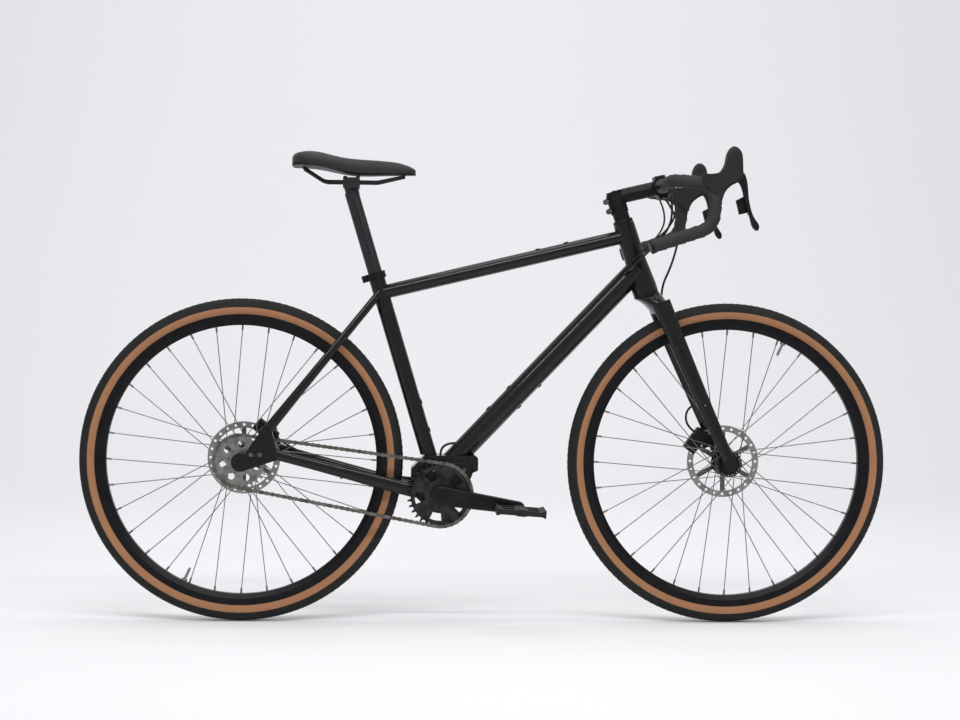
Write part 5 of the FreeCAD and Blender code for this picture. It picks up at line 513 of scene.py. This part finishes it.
rim_black = anodised("rim_black", colour(0.010, 0.010, 0.011), colour(0.022, 0.022, 0.024), 0.34)
hub_black = anodised("hub_black", colour(0.012, 0.012, 0.013), colour(0.03, 0.03, 0.032), 0.28)
valve_metal = anodised("valve_metal", colour(0.20, 0.20, 0.21), colour(0.32, 0.32, 0.33), 0.30)
spoke_steel = Finish("spoke_steel", metallic=1.0)
spoke_streak = spoke_steel.noise(260.0, 3.0)
spoke_steel.feed("Base Color", spoke_steel.blend(spoke_streak, colour(0.14, 0.14, 0.14),
                                                 colour(0.22, 0.22, 0.215)))
spoke_steel.feed("Roughness", 0.24 + spoke_streak * 0.2)
dress(rim_black, "front_rim", "rear_rim")
dress(hub_black, "front_hub", "rear_hub", "seat_clamp", "headset_stack", "front_axle", "rear_axle")
dress(spoke_steel, "front_spokes", "rear_spokes", "front_bearings", "rear_bearings", "headset_bearings")

valve_angles = {"front": 65.0, "rear": 245.0}
rim_inner = 0.2935

# Outline of a valve, from its tip to its foot: radius, and height from the rim towards the axle.
valve_outline = [
    (0.0, 0.0320), (0.0022, 0.0318), (0.0025, 0.0300), (0.0022, 0.0285), (0.0031, 0.0280), (0.0031, 0.0060),
    (0.0056, 0.0056), (0.0060, 0.0046), (0.0060, 0.0016), (0.0056, 0.0002), (0.0031, -0.0004), (0.0, -0.0004),
]
for end, angle in valve_angles.items():
    centre = wheel_centre(f"{end}_tyre")
    outward = Vector((math.cos(math.radians(angle)), 0.0, math.sin(math.radians(angle))))
    valve = turned_profile(f"{end}_valve", valve_outline, centre + outward * rim_inner, -outward,
                           valve_metal.material)
    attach(valve, f"{end}_wheel")

# Brake rotors, calipers and pads
# Ground steel discs with fine rings left by the grinding, brighter on the track that the pads rub.
# Black calipers hold sintered pads.

ring_fineness = 9000.0
track_inner = 0.0655


def ground_steel(name, centre):
    finish = Finish(name, metallic=1.0)
    radius = length_of(finish, from_axle(finish, centre))
    rings = finish.add("ShaderNodeTexNoise", {"noise_dimensions": "1D"},
                       {"W": radius * ring_fineness, "Scale": 1.0})
    track = radius > track_inner
    worn = finish.blend(track, colour(0.13, 0.128, 0.126), colour(0.36, 0.357, 0.354))
    finish.feed("Base Color", finish.blend(rings * 0.35, worn, colour(0.14, 0.14, 0.14)))
    finish.feed("Roughness", 0.42 - track * 0.14 + rings * 0.12)
    finish.bump(rings, 0.15, 0.0003)
    return finish


for end in ("front", "rear"):
    dress(ground_steel(f"{end}_rotor_steel", wheel_centre(f"{end}_tyre")), f"{end}_rotor")
caliper_black = anodised("caliper_black", colour(0.012, 0.012, 0.013), colour(0.035, 0.035, 0.037), 0.30)
dress(caliper_black, "front_caliper", "rear_caliper")
lining = Finish("pad_lining", roughness=0.9)
lining_grain = lining.noise(900.0, 4.0)
lining.feed("Base Color", lining.blend(lining_grain, colour(0.05, 0.045, 0.04), colour(0.22, 0.18, 0.14)))
lining.bump(lining_grain, 0.3, 0.0004)
dress(lining, "front_pad_left", "front_pad_right", "rear_pad_left", "rear_pad_right")

# Bar tape
# A strip of charcoal foam tape, wound round the bar with each turn over half of the last one.
# A band of smooth tape closes its inner end, and it runs on under the lever bodies to the bar's end.

bar_clamp = Vector((0.378, 0.0, 0.955))
bar_bend = 0.042
tape_start = 0.095
tape_band = 0.014
tape_pitch = 0.021
tape_low = 0.01285
tape_step = 0.0017
tape_edge = 0.10
band_share = 0.8
tape_spacing = 0.0016
tape_around = 28

# Corners of half a bar: ahead of the clamp's middle, out from it and above it.
half_bar = [
    (0.0, tape_start, 0.0004), (0.0, 0.205, 0.002), (0.089, 0.217, -0.007), (0.077, 0.232, -0.097),
    (-0.049, 0.243, -0.139),
]


def bar_corners(side):
    """The bar's middle line: along the top, forward, down the hook and back."""
    return [bar_clamp + Vector((ahead, side * out, above)) for ahead, out, above in half_bar]


def bent_line(corners, bend, spacing):
    """Even points along straight runs and round bends."""
    points = []
    start = corners[0]
    for before, corner, after in zip(corners, corners[1:], corners[2:]):
        into = (corner - before).normalized()
        out = (after - corner).normalized()
        turn = into.angle(out)
        reach = bend * math.tan(turn / 2)
        first = corner - into * reach
        run = max(1, round((first - start).length / spacing))
        points.extend(start.lerp(first, step / run) for step in range(run))
        middle = corner + (out - into).normalized() * (bend / math.cos(turn / 2))
        arc = max(1, round(bend * turn / spacing))
        arm = first - middle
        axis = into.cross(out).normalized()
        points.extend(middle + Matrix.Rotation(turn * step / arc, 3, axis) @ arm for step in range(arc))
        start = corner + out * reach
    run = max(1, round((corners[-1] - start).length / spacing))
    points.extend(start.lerp(corners[-1], step / run) for step in range(run + 1))
    return points


def tape_sleeve(name, points, way, material):
    """Rings along a line. Their radius steps up at the edge of each turn and falls off across it."""
    build = bmesh.new()
    rings = []
    travelled = 0.0
    across = Vector((1.0, 0.0, 0.0))
    for spot, point in enumerate(points):
        ahead = points[min(spot + 1, len(points) - 1)]
        behind = points[max(spot - 1, 0)]
        along = (ahead - behind).normalized()
        across = (across - along * across.dot(along)).normalized()
        over = along.cross(across)
        if spot:
            travelled += (point - points[spot - 1]).length
        ring = []
        for step in range(tape_around):
            angle = math.tau * step / tape_around
            turn = (travelled / tape_pitch + way * step / tape_around) % 1.0
            edge = min(1.0, turn / tape_edge)
            radius = tape_low + tape_step * (1.0 - turn) * edge
            if travelled < tape_band:
                radius = tape_low + tape_step * band_share
            ring.append(build.verts.new(point + (across * math.cos(angle) + over * math.sin(angle)) * radius))
        rings.append(ring)
    for first, second in zip(rings, rings[1:]):
        for step in range(tape_around):
            following = (step + 1) % tape_around
            build.faces.new((first[step], first[following], second[following], second[step]))
    build.faces.new(rings[0])
    build.faces.new(rings[-1])
    return piece_from(build, name, material, True)


tape_foam = Finish("bar_tape_foam", specular_ior_level=0.25)
tape_grain = tape_foam.add("ShaderNodeTexVoronoi", {}, {"Vector": tape_foam.place(), "Scale": 650.0})
tape_rub = tape_foam.noise(25.0, 5.0)
tape_foam.feed("Base Color", tape_foam.blend(tape_rub, colour(0.016, 0.016, 0.017),
                                             colour(0.038, 0.038, 0.040)))
tape_foam.feed("Roughness", 0.62 + tape_rub * 0.2)
tape_foam.bump(tape_grain, 0.3, 0.0005)
tape_pieces = []
for side, word in ((-1, "right"), (1, "left")):
    line = bent_line(bar_corners(side), bar_bend, tape_spacing)
    tape_pieces.append(tape_sleeve(f"bar_tape_wound_{word}", line, side, tape_foam.material))
for piece in tape_pieces:
    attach(piece, "fork")
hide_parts("bar_tape")

# Lever bodies
# Soft black rubber hoods over the lever bodies, with a fine diamond grip on their sides.
# Each sits on the outside of the bar's bend, so the tape shows behind it and below it.

grip_fineness = 2100.0
hood_rubber = Finish("hood_rubber", specular_ior_level=0.25)
hood_ahead, hood_up = ahead_and_up(hood_rubber, hood_rubber.place())
grip_one = sine(hood_rubber, (hood_ahead + hood_up) * grip_fineness)
grip_two = sine(hood_rubber, (hood_ahead - hood_up) * grip_fineness)
hood_rub = hood_rubber.noise(30.0, 5.0)
hood_rubber.feed("Base Color", hood_rubber.blend(hood_rub, colour(0.008, 0.008, 0.008),
                                                 colour(0.018, 0.018, 0.018)))
hood_rubber.feed("Roughness", 0.58 + hood_rub * 0.2)
hood_rubber.bump(grip_one * grip_two, 0.18, 0.0005)

# Side view that bounds the rubber, ahead of and above the middle of the bar clamp.
hood_view = [
    (0.056, 0.0145), (0.074, 0.0140), (0.088, 0.0160), (0.096, 0.0210), (0.101, 0.0320), (0.104, 0.0500),
    (0.100, 0.0800), (0.150, 0.0800), (0.150, -0.0020), (0.132, -0.0120), (0.114, -0.0200), (0.104, -0.0290),
    (0.100, -0.0410), (0.088, -0.0370), (0.072, -0.0220), (0.057, -0.0080),
]
view_margin = 0.01
rubber_grain = 0.0012
rubber_easing = 8
seam_width = 1e-6


def view_prism(name, view, low, high):
    """The side view, drawn out across the bike."""
    count = len(view)
    corners = [bar_clamp + Vector((x, y, z)) for y in (low, high) for x, z in view]
    sides = [(spot, (spot + 1) % count, count + (spot + 1) % count, count + spot) for spot in range(count)]
    mesh = bpy.data.meshes.new(name)
    mesh.from_pydata(corners, [], sides + [tuple(reversed(range(count))), tuple(range(count, 2 * count))])
    build = bmesh.new()
    build.from_mesh(mesh)
    bmesh.ops.recalc_face_normals(build, faces=build.faces)
    build.to_mesh(mesh)
    build.free()
    return bpy.data.objects.new(name, mesh)


def rubber_hood(name, body, material):
    """The part of a lever body that lies inside the view, with the soft edges of moulded rubber."""
    build = bmesh.new()
    build.from_mesh(body.data)
    bmesh.ops.transform(build, matrix=body.matrix_world, verts=build.verts)
    bmesh.ops.remove_doubles(build, verts=build.verts, dist=seam_width)
    across = [vertex.co.y for vertex in build.verts]
    rough = bpy.data.meshes.new(name + "_rough")
    build.to_mesh(rough)
    build.free()
    piece = bpy.data.objects.new(name, rough)
    prism = view_prism(name + "_view", hood_view, min(across) - view_margin, max(across) + view_margin)
    bpy.context.collection.objects.link(piece)
    bpy.context.collection.objects.link(prism)
    inside = piece.modifiers.new("inside the view", "BOOLEAN")
    inside.operation = "INTERSECT"
    inside.object = prism
    skin = piece.modifiers.new("skin", "REMESH")
    skin.voxel_size = rubber_grain
    ease = piece.modifiers.new("ease", "SMOOTH")
    ease.iterations = rubber_easing
    graph = bpy.context.evaluated_depsgraph_get()
    moulded = bpy.data.meshes.new_from_object(piece.evaluated_get(graph))
    piece.modifiers.clear()
    piece.data = moulded
    bpy.data.meshes.remove(rough)
    bpy.data.objects.remove(prism)
    moulded.materials.clear()
    moulded.materials.append(material)
    for face in moulded.polygons:
        face.use_smooth = True
    return piece


for word in ("right", "left"):
    hood = rubber_hood(f"hood_rubber_{word}", nodes[f"hood_{word}"], hood_rubber.material)
    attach(hood, "fork")
    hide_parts(f"hood_{word}")

# Hoses and cables
# Smooth black sleeves. They leave the tape's inner ends, hang in open loops before the head tube and
# go into ports in the down tube and the fork. Short ones reach the gearbox and the calipers.
# Each route is given from the end at the controls to the far end.

line_sleeve = Finish("line_sleeve", roughness=0.38, specular_ior_level=0.25)
line_shade = line_sleeve.noise(120.0, 3.0)
line_sleeve.feed("Base Color", line_sleeve.blend(line_shade, colour(0.005, 0.005, 0.005),
                                                 colour(0.013, 0.013, 0.013)))
line_sleeve.bump(line_shade, 0.05, 0.0003)
hose_across = 0.0050
cable_across = 0.0040
gearbox_cable_out = 0.009


def line_curve(name, points, across):
    """A smooth curve whose control points are the line's route."""
    data = bpy.data.curves.new(name, "CURVE")
    data.dimensions = "3D"
    data.bevel_depth = across / 2
    data.bevel_resolution = 4
    data.resolution_u = 16
    data.use_fill_caps = True
    spline = data.splines.new("NURBS")
    spline.points.add(len(points) - 1)
    for spot, point in zip(spline.points, points):
        spot.co = (*point, 1.0)
    spline.order_u = 3
    spline.use_endpoint_u = True
    return bpy.data.objects.new(name, data)


def line_tube(name, points, across):
    """The line as a tube, and the points of its middle."""
    curve = line_curve(name + "_route", points, across)
    bpy.context.collection.objects.link(curve)
    graph = bpy.context.evaluated_depsgraph_get()
    tube = bpy.data.meshes.new_from_object(curve.evaluated_get(graph))
    curve.data.bevel_depth = 0.0
    graph = bpy.context.evaluated_depsgraph_get()
    thread = bpy.data.meshes.new_from_object(curve.evaluated_get(graph))
    middle = [vertex.co.copy() for vertex in thread.vertices]
    bpy.data.objects.remove(curve)
    tube.materials.clear()
    tube.materials.append(line_sleeve.material)
    for face in tube.polygons:
        face.use_smooth = True
    piece = bpy.data.objects.new(name, tube)
    bpy.context.collection.objects.link(piece)
    return piece, middle


def run_line(name, points, across, carrier=None):
    """Makes a line and attaches it to its carrier. One without a carrier runs between fork and frame and is
    attached to neither.
    """
    piece, middle = line_tube(name, points, across)
    if carrier:
        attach(piece, carrier)
    else:
        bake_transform(piece)
    return piece


rear_hose = run_line("rear_brake_hose", [
    (0.3853, -0.0925, 0.9423), (0.3980, -0.0620, 0.9120), (0.3930, -0.0440, 0.8580),
    (0.3300, -0.0380, 0.7940), (0.2975, -0.0256, 0.7630),
], hose_across)
run_line("shift_cable_right", [
    (0.3917, -0.0925, 0.9513), (0.4040, -0.0660, 0.9320), (0.4030, -0.0520, 0.8720),
    (0.3340, -0.0400, 0.8160), (0.3117, -0.0258, 0.7861),
], cable_across)
run_line("shift_cable_left", [
    (0.3851, 0.0925, 0.9427), (0.3980, 0.0640, 0.9140), (0.3950, 0.0480, 0.8620), (0.3320, 0.0380, 0.8060),
    (0.3075, 0.0258, 0.7785),
], cable_across)
for side, word in ((-1, "right"), (1, "left")):
    out = side * gearbox_cable_out
    run_line(f"gearbox_cable_{word}", [
        (-0.0655, out, 0.3900), (-0.0820, out, 0.3900), (-0.0980, out, 0.3780), (-0.0987, out, 0.3648),
    ], cable_across, "frame")
run_line("rear_brake_hose_end", [
    (-0.4035, 0.0643, 0.3585), (-0.4120, 0.0620, 0.3660), (-0.4422, 0.0605, 0.3816),
    (-0.4594, 0.0605, 0.3955),
], hose_across, "frame")
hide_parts("control_lines")
front_hose = run_line("front_hose_upper", [
    (0.3918, 0.0925, 0.9500), (0.4080, 0.0620, 0.9250), (0.4320, 0.0440, 0.8660), (0.4140, 0.0420, 0.7900),
    (0.3880, 0.0420, 0.7350), (0.3905, 0.0415, 0.7045),
], hose_across, "fork")
run_line("front_hose_lower", [
    (0.4640, 0.0502, 0.4735), (0.4491, 0.0480, 0.4647), (0.4488, 0.0445, 0.4309), (0.4663, 0.0445, 0.4176),
], hose_across, "fork")
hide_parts("front_brake_hose")

# Floor, light and camera
# A pale studio: one floor that sweeps up behind the bike, a broad lamp above and one for the backdrop.
# A long narrow lamp above the camera draws the thin highlights along the tubes.


def studio_floor():
    finish = Finish("studio_floor", roughness=0.9)
    finish.feed("Base Color", finish.blend(finish.noise(0.6, 3.0), colour(0.89, 0.89, 0.905),
                                           colour(0.91, 0.91, 0.925)))
    side = 14.0
    level = -0.001
    back = 2.6
    sweep = 2.2
    sweep_steps = 24
    profile = [(-side, level), (back, level)]
    for step in range(1, sweep_steps + 1):
        angle = math.pi / 2 * step / sweep_steps
        profile.append((back + sweep * math.sin(angle), level + sweep * (1 - math.cos(angle))))
    profile.append((back + sweep, side))
    corners = [(x, y, z) for y, z in profile for x in (-side, side)]
    faces = [(2 * row, 2 * row + 1, 2 * row + 3, 2 * row + 2) for row in range(len(profile) - 1)]
    mesh = bpy.data.meshes.new("studio_floor")
    mesh.from_pydata(corners, [], faces)
    for face in mesh.polygons:
        face.use_smooth = True
    mesh.materials.append(finish.material)
    floor = bpy.data.objects.new("studio_floor", mesh)
    bpy.context.collection.objects.link(floor)


def studio_lamp(name, place, aim, width, height, power):
    data = bpy.data.lights.new(name, "AREA")
    data.shape = "RECTANGLE"
    data.size = width
    data.size_y = height
    data.energy = power
    lamp = bpy.data.objects.new(name, data)
    lamp.location = place
    lamp.rotation_euler = (Vector(aim) - Vector(place)).to_track_quat("-Z", "Y").to_euler()
    bpy.context.collection.objects.link(lamp)


def studio_world():
    world = bpy.data.worlds.new("studio_world")
    bpy.context.scene.world = world
    world.use_nodes = True
    back = world.node_tree.nodes["Background"]
    back.inputs["Color"].default_value = colour(0.90, 0.90, 0.92)
    back.inputs["Strength"].default_value = 0.65


def photo_camera():
    """Stands to the right of the bike, a little behind its middle and about 0.68 m above the ground."""
    target = Vector((-0.014, 0.0, 0.5727))
    distance = 4.0
    yaw = math.radians(-2.7)
    pitch = math.radians(1.5)
    roll = math.radians(0.6)
    focal_pixels = 1826.0
    photo_pixels = 960
    back = Vector((math.sin(yaw) * math.cos(pitch), -math.cos(yaw) * math.cos(pitch), math.sin(pitch)))
    data = bpy.data.cameras.new("photo_camera")
    data.sensor_width = 36.0
    data.lens = focal_pixels * data.sensor_width / photo_pixels
    camera = bpy.data.objects.new("photo_camera", data)
    turn = (-back).to_track_quat("-Z", "Y").to_matrix().to_4x4()
    camera.matrix_world = Matrix.Translation(target + back * distance) @ turn @ Matrix.Rotation(roll, 4, "Z")
    bpy.context.collection.objects.link(camera)
    bpy.context.scene.camera = camera


studio_floor()
studio_world()
studio_lamp("lamp_above", place=(0.0, 0.1, 2.6), aim=(0.0, 0.1, 0.0), width=1.6, height=0.5, power=11)
studio_lamp("lamp_strip", place=(0.0, -1.5, 2.3), aim=(0.0, 0.0, 0.6), width=3.4, height=0.20, power=36)
studio_lamp("lamp_back", place=(0.0, 1.2, 3.4), aim=(0.0, 4.4, 1.2), width=5.0, height=1.0, power=46)
photo_camera()
bpy.context.scene.view_settings.view_transform = "Standard"
